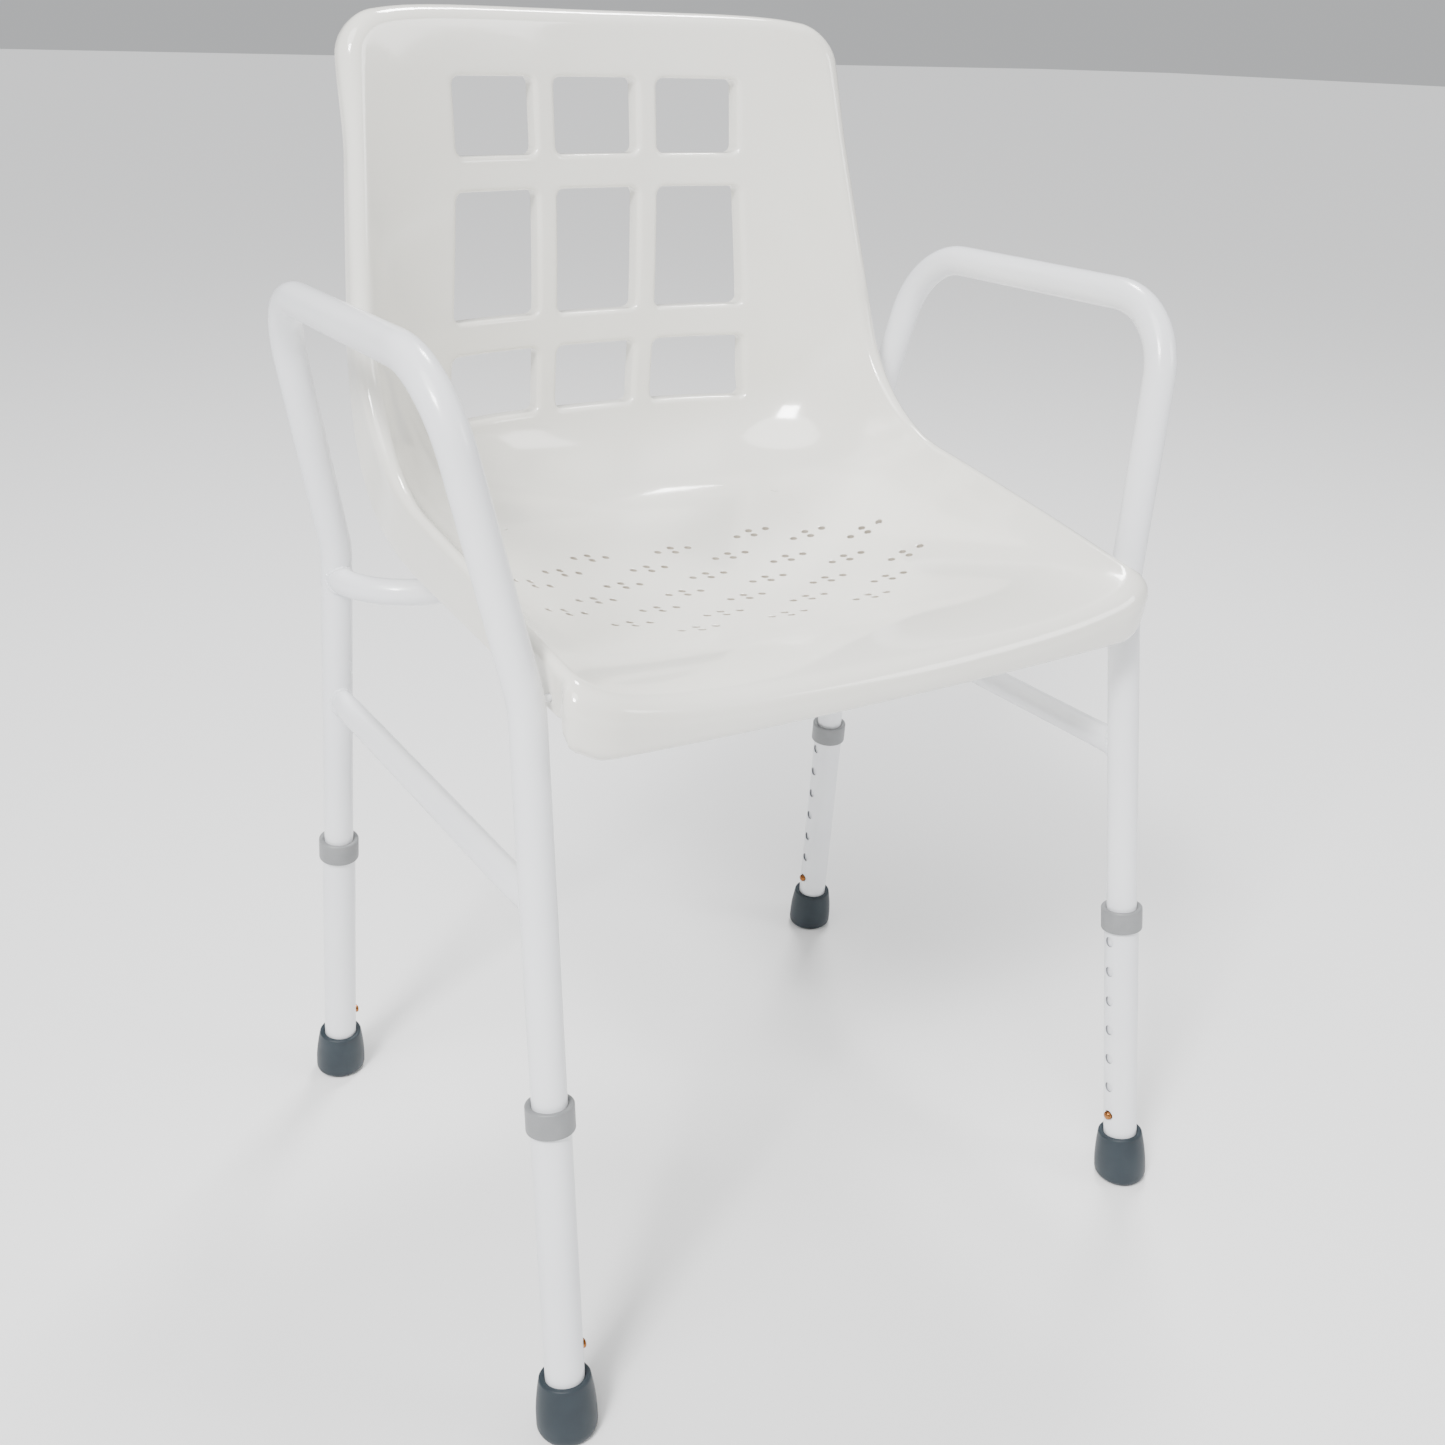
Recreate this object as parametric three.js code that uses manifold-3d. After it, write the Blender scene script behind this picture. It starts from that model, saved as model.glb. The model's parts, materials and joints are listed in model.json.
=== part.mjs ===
// Height-adjustable shower chair: a one-piece moulded seat and back on a welded tube frame.
// Millimetres, +Z up. The sitter faces -Y, so the sitter's left is +X. The origin is on the
// floor under the middle of the four feet.
import * as THREE from "three";
import { mergeVertices } from "three/addons/utils/BufferGeometryUtils.js";
import Module from "manifold-3d";

const wasm = await Module();
wasm.setup();

// Clearances.
const GAP = 0.3; // between neighbouring pieces
const TUBE_SLIP = 0.4; // radial, between a leg sleeve and the frame tube inside it
const SIDE_GAP = 0.4; // between the moulding's widest sides and the side frames

// Seat and back moulding. PAN.low is the seat's lowest point, which the other heights follow.
const WALL = 3.2;
const HALF = { seat: 207.5, fold: 7.2, taper: 19.1 }; // half width, and its loss over the fold and the back
const PAN = { low: 463.3, lowY: 4.5, dish: 650, edgeY: -187, levelY: -110, crown: 280 };
const FOLD = { y: 145, radius: 80 };
const BACK = { lumbarZ: PAN.low + 236.7, bow: 1111, topZ: PAN.low + 361.2 };
const WING = {
  frontY: PAN.edgeY + 4,
  y: -17,
  z: PAN.low + 59,
  rise: 0.155,
  bend: 120,
  backY: FOLD.y - 8,
  backZ: PAN.low + 148.7,
  lean: 0.2,
  topZ: PAN.low + 353.7,
};
const CORNER = { front: 23, top: 24 };
const RIM = {
  side: 5,
  front: 15,
  back: 8,
  top: 12,
  frontDrop: 22,
  rearDrop: 37,
  foldDrop: 7,
  backDrop: 11,
  topDrop: 4,
  lipZ: PAN.low - 12.8,
};
const HOLLOW = { parabola: 0.42, power: 7 };
const WINDOW = { inner: 33.5, rib: 16.5, outer: 115, spread: 0.07, corner: 6, flange: 12, wall: 3 };
const WINDOW_ROWS = [[87.7, 136.7], [161.7, 251.2], [275.2, 327.2]]; // heights above PAN.low
const DRAIN = { radius: 2.6, stepX: 34.7, stepY: 25.9, rearY: 82.6, halfX: 12.9, halfY: 4 };
const DRAIN_ROWS = [[-2, 0, 2], [-3, -1, 1, 3], [-4, -2, 0, 2, 4], [-3, -1, 1, 3], [-4, -2, 0, 2, 4],
  [-3, -1, 1, 3], [-2, 0, 2]];

// Side frames: a front leg, an armrest and a rear leg bent from one tube.
const TUBE_R = 11.1;
const TUBE_WALL = 1.2;
const SEAT_BEND = {
  x: HALF.seat + 2 * RIM.side + SIDE_GAP + TUBE_R,
  front: PAN.edgeY + 33,
  rear: FOLD.y + 22.5,
  z: PAN.low + 14.7,
  radius: 90,
};
const ARM_BEND = {
  x: SEAT_BEND.x + 35.5,
  front: SEAT_BEND.front + 25,
  rear: SEAT_BEND.rear - 26,
  z: SEAT_BEND.z + 186,
  radius: 57,
};
const FOOT = { // where the leg axes meet the floor
  x: SEAT_BEND.x + 15.5,
  front: SEAT_BEND.front - 66,
  rear: SEAT_BEND.rear + 52.5,
};

// Tubes that join the legs.
const THIN_R = 9.5;
const RAIL = { z: PAN.low - 105.8, squash: 0.8, squashLength: 26 };
const CROSS = { y: FOLD.y - 37, z: PAN.low + 2.2 - THIN_R, bend: 58 };

// Telescopic legs. Heights are along the leg from the floor.
const BUTTON = { z: 58, radius: 3.3, proud: 3, brim: 1.2, flangeThickness: 1.2 };
const HOLE = { play: 0.6, pitch: 25, count: 7 };
const LEAF = { width: 7, thickness: 0.8, below: 8, above: 30 };
const SLEEVE_WALL = 1.2;
const SLEEVE_R = TUBE_R + TUBE_SLIP + SLEEVE_WALL;
const SLEEVE_TOP = BUTTON.z + HOLE.pitch * (HOLE.count - 1) + 23;
const TUBE_END = BUTTON.z - 22;
const COLLAR = { wall: 2.3, skirt: 17.5, cap: 3.2, round: 1.6 };
const TIP = { radius: SLEEVE_R + 7.3, waist: SLEEVE_R + 4.3, height: 44, floor: 8, round: 5 };
const WASHER = { thickness: 1.5, hole: 3 };

// Saddle clips that hold the moulding to the rear cross tube, with two screws each.
const CLIP = { x: 120, width: 20, thickness: 2, ear: 13, drop: 2.5, screwY: THIN_R + 8.9 };
const SCREW = { radius: 2, headRadius: 4, head: 2.6, length: 9 };
const BOSS = { radius: 5.5 };

// Bolts through the moulding's sides into the front legs.
const BOLT = { up: 2, radius: 2.4, headRadius: 4.6, head: 2.4, beyond: 3, curve: 0.6 };

const ROUND = 14; // sides of a tube
const BORE_R = TUBE_R + TUBE_SLIP;
const TUBE_BORE_R = TUBE_R - TUBE_WALL;
const SEAT_BOTTOM_Z = CROSS.z + THIN_R - CLIP.drop; // where the bosses meet the clips

const white = { color: 0xe9ebee, roughness: 0.28, metalness: 0 };
const MATERIALS = {
  shell: { color: 0xe8e8e3, roughness: 0.2, metalness: 0 },
  frame: white,
  sleeve: white,
  collar: { color: 0xa6a8a8, roughness: 0.5, metalness: 0 },
  rubber: { color: 0x4b5862, roughness: 0.6, metalness: 0 },
  copper: { color: 0xb5713f, roughness: 0.3, metalness: 1 },
  steel: { color: 0xb9bcc0, roughness: 0.35, metalness: 1 },
};

const chair = new THREE.Group();
const CORNERS = [
  { name: "front_left", side: 1, end: "front" },
  { name: "front_right", side: -1, end: "front" },
  { name: "rear_left", side: 1, end: "rear" },
  { name: "rear_right", side: -1, end: "rear" },
];

function addMesh(parent, name, geometry, material) {
  const mesh = new THREE.Mesh(geometry, new THREE.MeshStandardMaterial(MATERIALS[material]));
  mesh.name = name;
  parent.add(mesh);
}

// Solids: closed meshes that can be joined and cut.

function toSolid(geometry) {
  const bare = geometry.clone();
  bare.deleteAttribute("normal");
  bare.deleteAttribute("uv");
  const merged = mergeVertices(bare, 1e-4);
  const index = merged.index.array;
  const triangles = [];
  for (let i = 0; i < index.length; i += 3) {
    const [a, b, c] = [index[i], index[i + 1], index[i + 2]];
    if (a !== b && b !== c && c !== a) triangles.push(a, b, c);
  }
  const vertProperties = new Float32Array(merged.attributes.position.array);
  const triVerts = new Uint32Array(triangles);
  return new wasm.Manifold(new wasm.Mesh({ numProp: 3, vertProperties, triVerts }));
}

function toGeometry(solid) {
  const mesh = solid.getMesh();
  const geometry = new THREE.BufferGeometry();
  const vertices = new Float32Array(mesh.vertProperties);
  geometry.setAttribute("position", new THREE.BufferAttribute(vertices, 3));
  geometry.setIndex(new THREE.BufferAttribute(new Uint32Array(mesh.triVerts), 1));
  geometry.computeVertexNormals();
  return geometry;
}

function cut(geometry, cutters) {
  return toGeometry(cutters.reduce((solid, cutter) => solid.subtract(toSolid(cutter)), toSolid(geometry)));
}

// A rod from one point to another.
function rod(from, to, radius, sides = ROUND) {
  const length = from.distanceTo(to);
  const geometry = new THREE.CylinderGeometry(radius, radius, length, sides);
  geometry.rotateX(Math.PI / 2).translate(0, 0, length / 2);
  const turn = new THREE.Quaternion().setFromUnitVectors(
    new THREE.Vector3(0, 0, 1), to.clone().sub(from).normalize());
  return geometry.applyQuaternion(turn).translate(from.x, from.y, from.z);
}

// A turned piece about the local Z axis, from [radius, height] pairs.
function turned(profile, sides = ROUND) {
  const points = profile.map(([radius, height]) => new THREE.Vector2(radius, height));
  return new THREE.LatheGeometry(points, sides).rotateX(Math.PI / 2);
}

// A path of straight stretches between the points given.
class StraightPath extends THREE.Curve {
  constructor(points) {
    super();
    this.points = points;
  }

  get steps() {
    return this.points.length - 1;
  }

  getUtoTmapping(u) {
    return u;
  }

  getPoint(t, target = new THREE.Vector3()) {
    const place = THREE.MathUtils.clamp(t, 0, 1) * this.steps;
    const from = Math.min(Math.floor(place), this.steps - 1);
    return target.lerpVectors(this.points[from], this.points[from + 1], place - from);
  }
}

// The points of a round bend at a corner, tangent to both of its sides.
function bend(before, corner, after, radius, steps) {
  const inward = before.clone().sub(corner).normalize();
  const outward = after.clone().sub(corner).normalize();
  const half = inward.angleTo(outward) / 2;
  const centre = inward.clone().add(outward).normalize()
    .multiplyScalar(radius / Math.sin(half)).add(corner);
  const start = inward.multiplyScalar(radius / Math.tan(half)).add(corner).sub(centre);
  const end = outward.multiplyScalar(radius / Math.tan(half)).add(corner).sub(centre);
  const axis = start.clone().cross(end).normalize();
  const angle = start.angleTo(end);
  return Array.from({ length: steps + 1 }, (_, i) =>
    start.clone().applyAxisAngle(axis, (angle * i) / steps).add(centre));
}

// A path with a bend of the given radius at each of its inner points.
function bentPath(points, radii) {
  const arcSteps = 5;
  const bends = radii.flatMap((radius, i) =>
    bend(points[i], points[i + 1], points[i + 2], radius, arcSteps));
  return new StraightPath([points[0], ...bends, points[points.length - 1]]);
}

// A hollow tube along a path.
function tube(path, radius, wall) {
  const shape = new THREE.Shape().absarc(0, 0, radius, 0, 2 * Math.PI, false);
  shape.holes.push(new THREE.Path().absarc(0, 0, radius - wall, 0, 2 * Math.PI, true));
  return new THREE.ExtrudeGeometry(shape, {
    steps: path.steps, curveSegments: ROUND / 2, bevelEnabled: false, extrudePath: path });
}

// Legs: each has a frame with its origin on the floor, Z up the leg and X towards the middle.

function footPoint({ side, end }) {
  return new THREE.Vector3(side * FOOT.x, FOOT[end], 0);
}

function seatBendPoint({ side, end }) {
  return new THREE.Vector3(side * SEAT_BEND.x, SEAT_BEND[end], SEAT_BEND.z);
}

function armBendPoint({ side, end }) {
  return new THREE.Vector3(side * ARM_BEND.x, ARM_BEND[end], ARM_BEND.z);
}

function legMatrix(corner) {
  const foot = footPoint(corner);
  const up = seatBendPoint(corner).sub(foot).normalize();
  const inward = new THREE.Vector3(-corner.side, 0, 0);
  inward.addScaledVector(up, -inward.dot(up)).normalize();
  const across = up.clone().cross(inward);
  return new THREE.Matrix4().makeBasis(inward, across, up).setPosition(foot);
}

// A point on a leg's axis, at a distance along the leg or at a height above the floor.
function alongLeg(corner, distance) {
  return new THREE.Vector3(0, 0, distance).applyMatrix4(legMatrix(corner));
}

function legAtHeight(corner, z) {
  return footPoint(corner).lerp(seatBendPoint(corner), z / SEAT_BEND.z);
}

// What a tube that meets a leg is cut back by.
function legCutter(corner) {
  return rod(alongLeg(corner, 0), seatBendPoint(corner), TUBE_R + GAP, 16);
}

function buttonHole(corner, radius) {
  const outside = new THREE.Vector3(2 * SLEEVE_R, 0, BUTTON.z);
  return rod(new THREE.Vector3(0, 0, BUTTON.z), outside, radius, 12).applyMatrix4(legMatrix(corner));
}

function sideFrame(side) {
  const front = { side, end: "front" };
  const rear = { side, end: "rear" };
  const path = bentPath(
    [alongLeg(front, TUBE_END), seatBendPoint(front), armBendPoint(front), armBendPoint(rear),
      seatBendPoint(rear), alongLeg(rear, TUBE_END)],
    [SEAT_BEND.radius, ARM_BEND.radius, ARM_BEND.radius, SEAT_BEND.radius]);
  const holes = [front, rear].map((corner) => buttonHole(corner, BUTTON.radius + GAP));
  const place = boltPlace(side);
  const boltHole = rod(place, place.clone().setX(side * SEAT_BEND.x), BOLT.radius + GAP, 8);
  return cut(tube(path, TUBE_R, TUBE_WALL), [...holes, boltHole]);
}

// A rail's ends are pressed narrower where they are welded to the legs.
function sideRail(side) {
  const ends = [{ side, end: "front" }, { side, end: "rear" }];
  const [from, to] = ends.map((corner) => legAtHeight(corner, RAIL.z));
  const along = to.clone().sub(from).normalize();
  const pressed = TUBE_R + RAIL.squashLength;
  const inset = (point, distance) => point.clone().addScaledVector(along, distance);
  const path = new StraightPath([from, inset(from, TUBE_R), inset(from, pressed),
    inset(to, -pressed), inset(to, -TUBE_R), to]);
  const geometry = tube(path, THIN_R, TUBE_WALL);
  const position = geometry.attributes.position;
  const point = new THREE.Vector3();
  for (let i = 0; i < position.count; i += 1) {
    point.fromBufferAttribute(position, i);
    const toEnd = Math.min(point.clone().sub(from).dot(along), to.clone().sub(point).dot(along));
    const squash = THREE.MathUtils.mapLinear(THREE.MathUtils.clamp(toEnd, TUBE_R, pressed),
      TUBE_R, pressed, RAIL.squash, 1);
    const middle = inset(from, point.clone().sub(from).dot(along));
    position.setXYZ(i, middle.x + (point.x - middle.x) * squash, point.y,
      middle.z + (point.z - middle.z) / Math.sqrt(squash));
  }
  return cut(geometry, ends.map(legCutter));
}

// The rear tube leaves the legs forwards and bends across under the seat.
function rearCrossTube() {
  const ends = [{ side: -1, end: "rear" }, { side: 1, end: "rear" }];
  const [from, to] = ends.map((corner) => legAtHeight(corner, CROSS.z));
  const corners = [from, to].map((point) => point.clone().setY(CROSS.y));
  const path = bentPath([from, ...corners, to], [CROSS.bend, CROSS.bend]);
  return cut(tube(path, THIN_R, TUBE_WALL), ends.map(legCutter));
}

// Telescopic leg pieces, in the leg's own frame.

function sleeveBottom() {
  return TIP.floor + WASHER.thickness + 2 * GAP;
}

function legSleeve() {
  const bottom = sleeveBottom();
  const body = turned([[BORE_R, bottom], [SLEEVE_R, bottom], [SLEEVE_R, SLEEVE_TOP],
    [BORE_R, SLEEVE_TOP], [BORE_R, bottom]]);
  const holes = Array.from({ length: HOLE.count }, (_, i) => {
    const z = BUTTON.z + i * HOLE.pitch;
    const outside = new THREE.Vector3(2 * SLEEVE_R, 0, z);
    return rod(new THREE.Vector3(0, 0, z), outside, BUTTON.radius + HOLE.play, 8);
  });
  return cut(body, holes);
}

function legCollar() {
  const inner = SLEEVE_R + GAP;
  const outer = inner + COLLAR.wall;
  const shoulder = SLEEVE_TOP + GAP;
  const bottom = shoulder - COLLAR.skirt;
  const top = shoulder + COLLAR.cap;
  const lip = (TUBE_R + GAP) / Math.cos(Math.PI / ROUND);
  return turned([[inner, bottom], [outer - COLLAR.round / 2, bottom],
    [outer, bottom + COLLAR.round / 2], [outer, top - COLLAR.round], [outer - COLLAR.round, top],
    [lip, top], [lip, shoulder], [inner, shoulder], [inner, bottom]]);
}

// The tip stands flat on the floor and its bore follows the leg, so its base is bent to suit.
function footTip(corner) {
  const bore = SLEEVE_R + GAP;
  const belly = TIP.round + 7;
  const geometry = turned([[0, 0], [TIP.radius - TIP.round, 0],
    [TIP.radius - 0.3 * TIP.round, 0.3 * TIP.round], [TIP.radius, TIP.round + 1], [TIP.radius, belly],
    [TIP.waist, TIP.height - 2], [TIP.waist - 1.5, TIP.height], [bore, TIP.height],
    [bore, TIP.floor], [0, TIP.floor]], 18);
  const matrix = legMatrix(corner);
  const lean = new THREE.Quaternion().setFromRotationMatrix(matrix);
  const upright = uprightTurn(corner);
  const position = geometry.attributes.position;
  const point = new THREE.Vector3();
  for (let i = 0; i < position.count; i += 1) {
    point.fromBufferAttribute(position, i);
    const height = point.z;
    const turn = upright.clone().slerp(lean, THREE.MathUtils.clamp(height / TIP.floor, 0, 1));
    point.setZ(0).applyQuaternion(turn);
    point.addScaledVector(alongLeg(corner, height), 1);
    position.setXYZ(i, point.x, point.y, Math.max(point.z, 0));
  }
  return geometry.applyMatrix4(matrix.invert());
}

// The leg frame's turn with its lean taken out.
function uprightTurn({ side }) {
  const inward = new THREE.Vector3(-side, 0, 0);
  const up = new THREE.Vector3(0, 0, 1);
  return new THREE.Quaternion().setFromRotationMatrix(
    new THREE.Matrix4().makeBasis(inward, up.clone().cross(inward), up));
}

function tipWasher() {
  const bottom = TIP.floor + GAP;
  const top = bottom + WASHER.thickness;
  return turned([[WASHER.hole, bottom], [SLEEVE_R, bottom], [SLEEVE_R, top], [WASHER.hole, top],
    [WASHER.hole, bottom]]);
}

// The button points along the leg frame's X axis. Its domed end stands proud of the sleeve.
function snapButton() {
  const front = flangeFront();
  const back = front - BUTTON.flangeThickness;
  const flange = BUTTON.radius + BUTTON.brim;
  const tip = SLEEVE_R + BUTTON.proud;
  const round = Array.from({ length: 4 }, (_, i) => {
    const angle = (i * Math.PI) / 6;
    return [BUTTON.radius * Math.cos(angle), tip - BUTTON.radius + BUTTON.radius * Math.sin(angle)];
  });
  const geometry = turned([[0, back], [flange, back], [flange, front], [BUTTON.radius, front],
    ...round.slice(0, 3), [0, tip]], 8);
  return geometry.rotateY(Math.PI / 2).translate(0, 0, BUTTON.z);
}

// How far out the flange can sit inside the round bore.
function flangeFront() {
  return Math.sqrt(TUBE_BORE_R ** 2 - (BUTTON.radius + BUTTON.brim) ** 2) - 2 * GAP;
}

function leafPlate(points) {
  const shape = new THREE.Shape(points.map(([x, z]) => new THREE.Vector2(x, z)));
  const plate = new THREE.ExtrudeGeometry(shape, { depth: LEAF.width, bevelEnabled: false });
  return plate.translate(0, 0, -LEAF.width / 2).rotateX(Math.PI / 2);
}

function armBack() {
  return flangeFront() - BUTTON.flangeThickness - GAP - LEAF.thickness;
}

function springArm() {
  const back = armBack();
  const front = back + LEAF.thickness;
  const bottom = BUTTON.z - LEAF.below;
  const top = BUTTON.z + LEAF.above;
  return leafPlate([[back, bottom], [front, bottom], [front, top], [back, top]]);
}

// The fixed half of the spring: a leaf on the far wall of the bore and the bend over its top.
function springClip() {
  const far = -(Math.sqrt(TUBE_BORE_R ** 2 - (LEAF.width / 2) ** 2) - 2 * GAP);
  const near = armBack() + LEAF.thickness;
  const centre = (far + near) / 2;
  const outer = (near - far) / 2;
  const inner = outer - LEAF.thickness;
  const start = BUTTON.z + LEAF.above + GAP;
  const arc = (radius, from, to) => Array.from({ length: 7 }, (_, i) => {
    const angle = from + ((to - from) * i) / 6;
    return [centre + radius * Math.cos(angle), start + radius * Math.sin(angle)];
  });
  const bottom = BUTTON.z - LEAF.below;
  return leafPlate([[far, bottom], [far + LEAF.thickness, bottom], ...arc(inner, Math.PI, 0),
    ...arc(outer, 0, Math.PI)]);
}

// Seat and back: one surface lofted between a middle profile and the crest of the side wings.
// Along the surface t runs 0 to 1 in equal thirds: the seat, the fold and the back.

function panHeight(y) {
  const slopeAtLevel = (PAN.levelY - PAN.lowY) / PAN.dish;
  if (y > PAN.levelY) return PAN.low + (y - PAN.lowY) ** 2 / (2 * PAN.dish);
  const ahead = y - PAN.levelY;
  return PAN.low + (PAN.levelY - PAN.lowY) ** 2 / (2 * PAN.dish) + slopeAtLevel * ahead
    - ahead ** 2 / (2 * PAN.crown);
}

function foldPoint(angle) {
  const start = Math.atan((FOLD.y - PAN.lowY) / PAN.dish);
  const centreY = FOLD.y - FOLD.radius * Math.sin(start);
  const centreZ = panHeight(FOLD.y) + FOLD.radius * Math.cos(start);
  return [centreY + FOLD.radius * Math.sin(angle), centreZ - FOLD.radius * Math.cos(angle)];
}

function foldEnd() {
  const centreZ = foldPoint(Math.PI / 2)[1];
  return Math.PI / 2 + Math.atan((BACK.lumbarZ - centreZ) / (BACK.bow + FOLD.radius));
}

function middlePoint(t) {
  const part = 3 * t;
  const start = Math.atan((FOLD.y - PAN.lowY) / PAN.dish);
  const end = foldEnd();
  if (part <= 1) {
    const y = THREE.MathUtils.lerp(PAN.edgeY, FOLD.y, part);
    return [y, panHeight(y)];
  }
  if (part <= 2) return foldPoint(THREE.MathUtils.lerp(start, end, part - 1));
  const [endY, endZ] = foldPoint(end);
  const z = THREE.MathUtils.lerp(endZ, BACK.topZ, part - 2);
  return [endY + ((z - BACK.lumbarZ) ** 2 - (endZ - BACK.lumbarZ) ** 2) / (2 * BACK.bow), z];
}

// The crest of a wing: a straight side, a round bend and a straight back.
function crestPoint(t) {
  const part = 3 * t;
  const seatAngle = Math.atan(WING.rise);
  const backAngle = Math.PI / 2 - Math.atan(WING.lean);
  const cornerZ = (WING.z + WING.rise * (WING.backY - WING.y - WING.lean * WING.backZ))
    / (1 - WING.rise * WING.lean);
  const cornerY = WING.backY + WING.lean * (cornerZ - WING.backZ);
  const reach = WING.bend * Math.tan((backAngle - seatAngle) / 2);
  const startY = cornerY - reach * Math.cos(seatAngle);
  const startZ = cornerZ - reach * Math.sin(seatAngle);
  if (part <= 1) {
    const y = THREE.MathUtils.lerp(WING.frontY, startY, part);
    return [y, startZ + WING.rise * (y - startY), seatAngle];
  }
  if (part <= 2) {
    const angle = THREE.MathUtils.lerp(seatAngle, backAngle, part - 1);
    return [startY + WING.bend * (Math.sin(angle) - Math.sin(seatAngle)),
      startZ + WING.bend * (Math.cos(seatAngle) - Math.cos(angle)), angle];
  }
  const endZ = cornerZ + reach * Math.sin(backAngle);
  const z = THREE.MathUtils.lerp(endZ, WING.topZ, part - 2);
  return [cornerY + WING.lean * (z - cornerZ), z, backAngle];
}

// A point of the sitting surface, with u from -1 to 1 across the seat.
function shellPoint(u, t) {
  const [middleY, middleZ] = middlePoint(t);
  const [crestY, crestZ] = crestPoint(t);
  const folded = THREE.MathUtils.smoothstep(3 * t, 1, 2);
  const back = THREE.MathUtils.clamp(3 * t - 2, 0, 1);
  const half = HALF.seat - HALF.fold * folded - HALF.taper * back;
  const parabola = HOLLOW.parabola * (1 - folded);
  const lift = parabola * u ** 2 + (1 - parabola) * Math.abs(u) ** HOLLOW.power;
  const forward = Math.abs(u) ** (2 + folded * (1 - back));
  return new THREE.Vector3(u * half, THREE.MathUtils.lerp(middleY, crestY, forward),
    THREE.MathUtils.lerp(middleZ, crestZ, lift));
}

function shellNormal(u, t) {
  const step = 1e-3;
  const across = shellPoint(u + step, t).sub(shellPoint(u - step, t));
  const [before, after] = [Math.max(t - step, 0), Math.min(t + step, 1)];
  return across.cross(shellPoint(u, after).sub(shellPoint(u, before))).normalize();
}

// Rounds the outline's corners: the square place (a, b) becomes a place (u, t) on the surface.
function roundedPlace(a, b) {
  const seatLength = FOLD.y - PAN.edgeY;
  const backLength = BACK.topZ - foldPoint(foldEnd())[1];
  const corners = [[CORNER.front, CORNER.front / seatLength / 3, (value) => value],
    [CORNER.top, CORNER.top / backLength / 3, (value) => 1 - value]];
  for (const [size, reach, flip] of corners) {
    const span = size / HALF.seat;
    const p = (Math.abs(a) - (1 - span)) / span;
    const q = (reach - flip(b)) / reach;
    if (p > 0 && q > 0) {
      const ring = Math.max(p, q);
      const pull = 1 - ring ** 2 * (1 - ring / Math.hypot(p, q));
      return [Math.sign(a) * (1 - span + p * pull * span), flip(reach - q * pull * reach)];
    }
  }
  return [a, b];
}

// The rim turns down round the seat and back round the backrest, then drops straight.
function rimPoints(place, before, after) {
  const [u, t] = place;
  const origin = shellPoint(u, t);
  const normal = shellNormal(u, t);
  const outward = shellPoint(...after).sub(shellPoint(...before)).cross(normal).normalize();
  const crestAngle = crestPoint(t)[2];
  const drop = new THREE.Vector3(0, Math.sin(crestAngle), -Math.cos(crestAngle));
  const ahead = -outward.y * (1 - THREE.MathUtils.smoothstep(3 * t, 0.3, 0.6));
  const front = THREE.MathUtils.smoothstep(ahead, 0.25, 0.75);
  const back = THREE.MathUtils.smoothstep(3 * t, 1, 2);
  const top = THREE.MathUtils.smoothstep(3 * t, 2.6, 3);
  const radius = RIM.side + (RIM.front - RIM.side) * front + (RIM.back - RIM.side) * back
    + (RIM.top - RIM.back) * top;
  const turn = outward.angleTo(drop);
  const inward = drop.clone().addScaledVector(outward, -drop.dot(outward)).normalize();
  const points = [];
  const rollSteps = 4;
  for (let i = 1; i <= rollSteps; i += 1) {
    const angle = (turn * i) / rollSteps;
    points.push(origin.clone().addScaledVector(outward, radius * Math.sin(angle))
      .addScaledVector(inward, radius * (1 - Math.cos(angle))));
  }
  const last = points[rollSteps - 1];
  const side = THREE.MathUtils.lerp(RIM.frontDrop, RIM.rearDrop, Math.min(3 * t, 1));
  const behind = THREE.MathUtils.lerp(RIM.backDrop, RIM.topDrop, Math.max(3 * t - 2, 0));
  const plain = THREE.MathUtils.lerp(side, behind, THREE.MathUtils.smoothstep(3 * t, 1.25, 2.1))
    + RIM.foldDrop * 4 * back * (1 - back);
  const toLip = (last.z - RIM.lipZ) / -drop.z;
  const length = THREE.MathUtils.lerp(plain, toLip, THREE.MathUtils.smoothstep(ahead, 0.8, 0.99));
  points.push(last.clone().addScaledVector(drop, length));
  return points;
}

function stations(count, edge) {
  return Array.from({ length: count + 1 }, (_, i) => {
    const s = (2 * i) / count - 1;
    return s * (1 + edge - edge * s ** 2);
  });
}

// Grid rows: the front of the seat and the top of the back have the closest ones.
function shellRows() {
  const seat = [0, 0.02, 0.045, 0.07, 0.12, 0.22, 0.36, 0.52, 0.68, 0.84];
  const fold = [0, 0.2, 0.4, 0.6, 0.8];
  const back = [0, 0.25, 0.5, 0.72, 0.84, 0.91, 0.955, 1];
  return [seat, fold, back].flatMap((part, i) => part.map((value) => (i + value) / 3));
}

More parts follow.
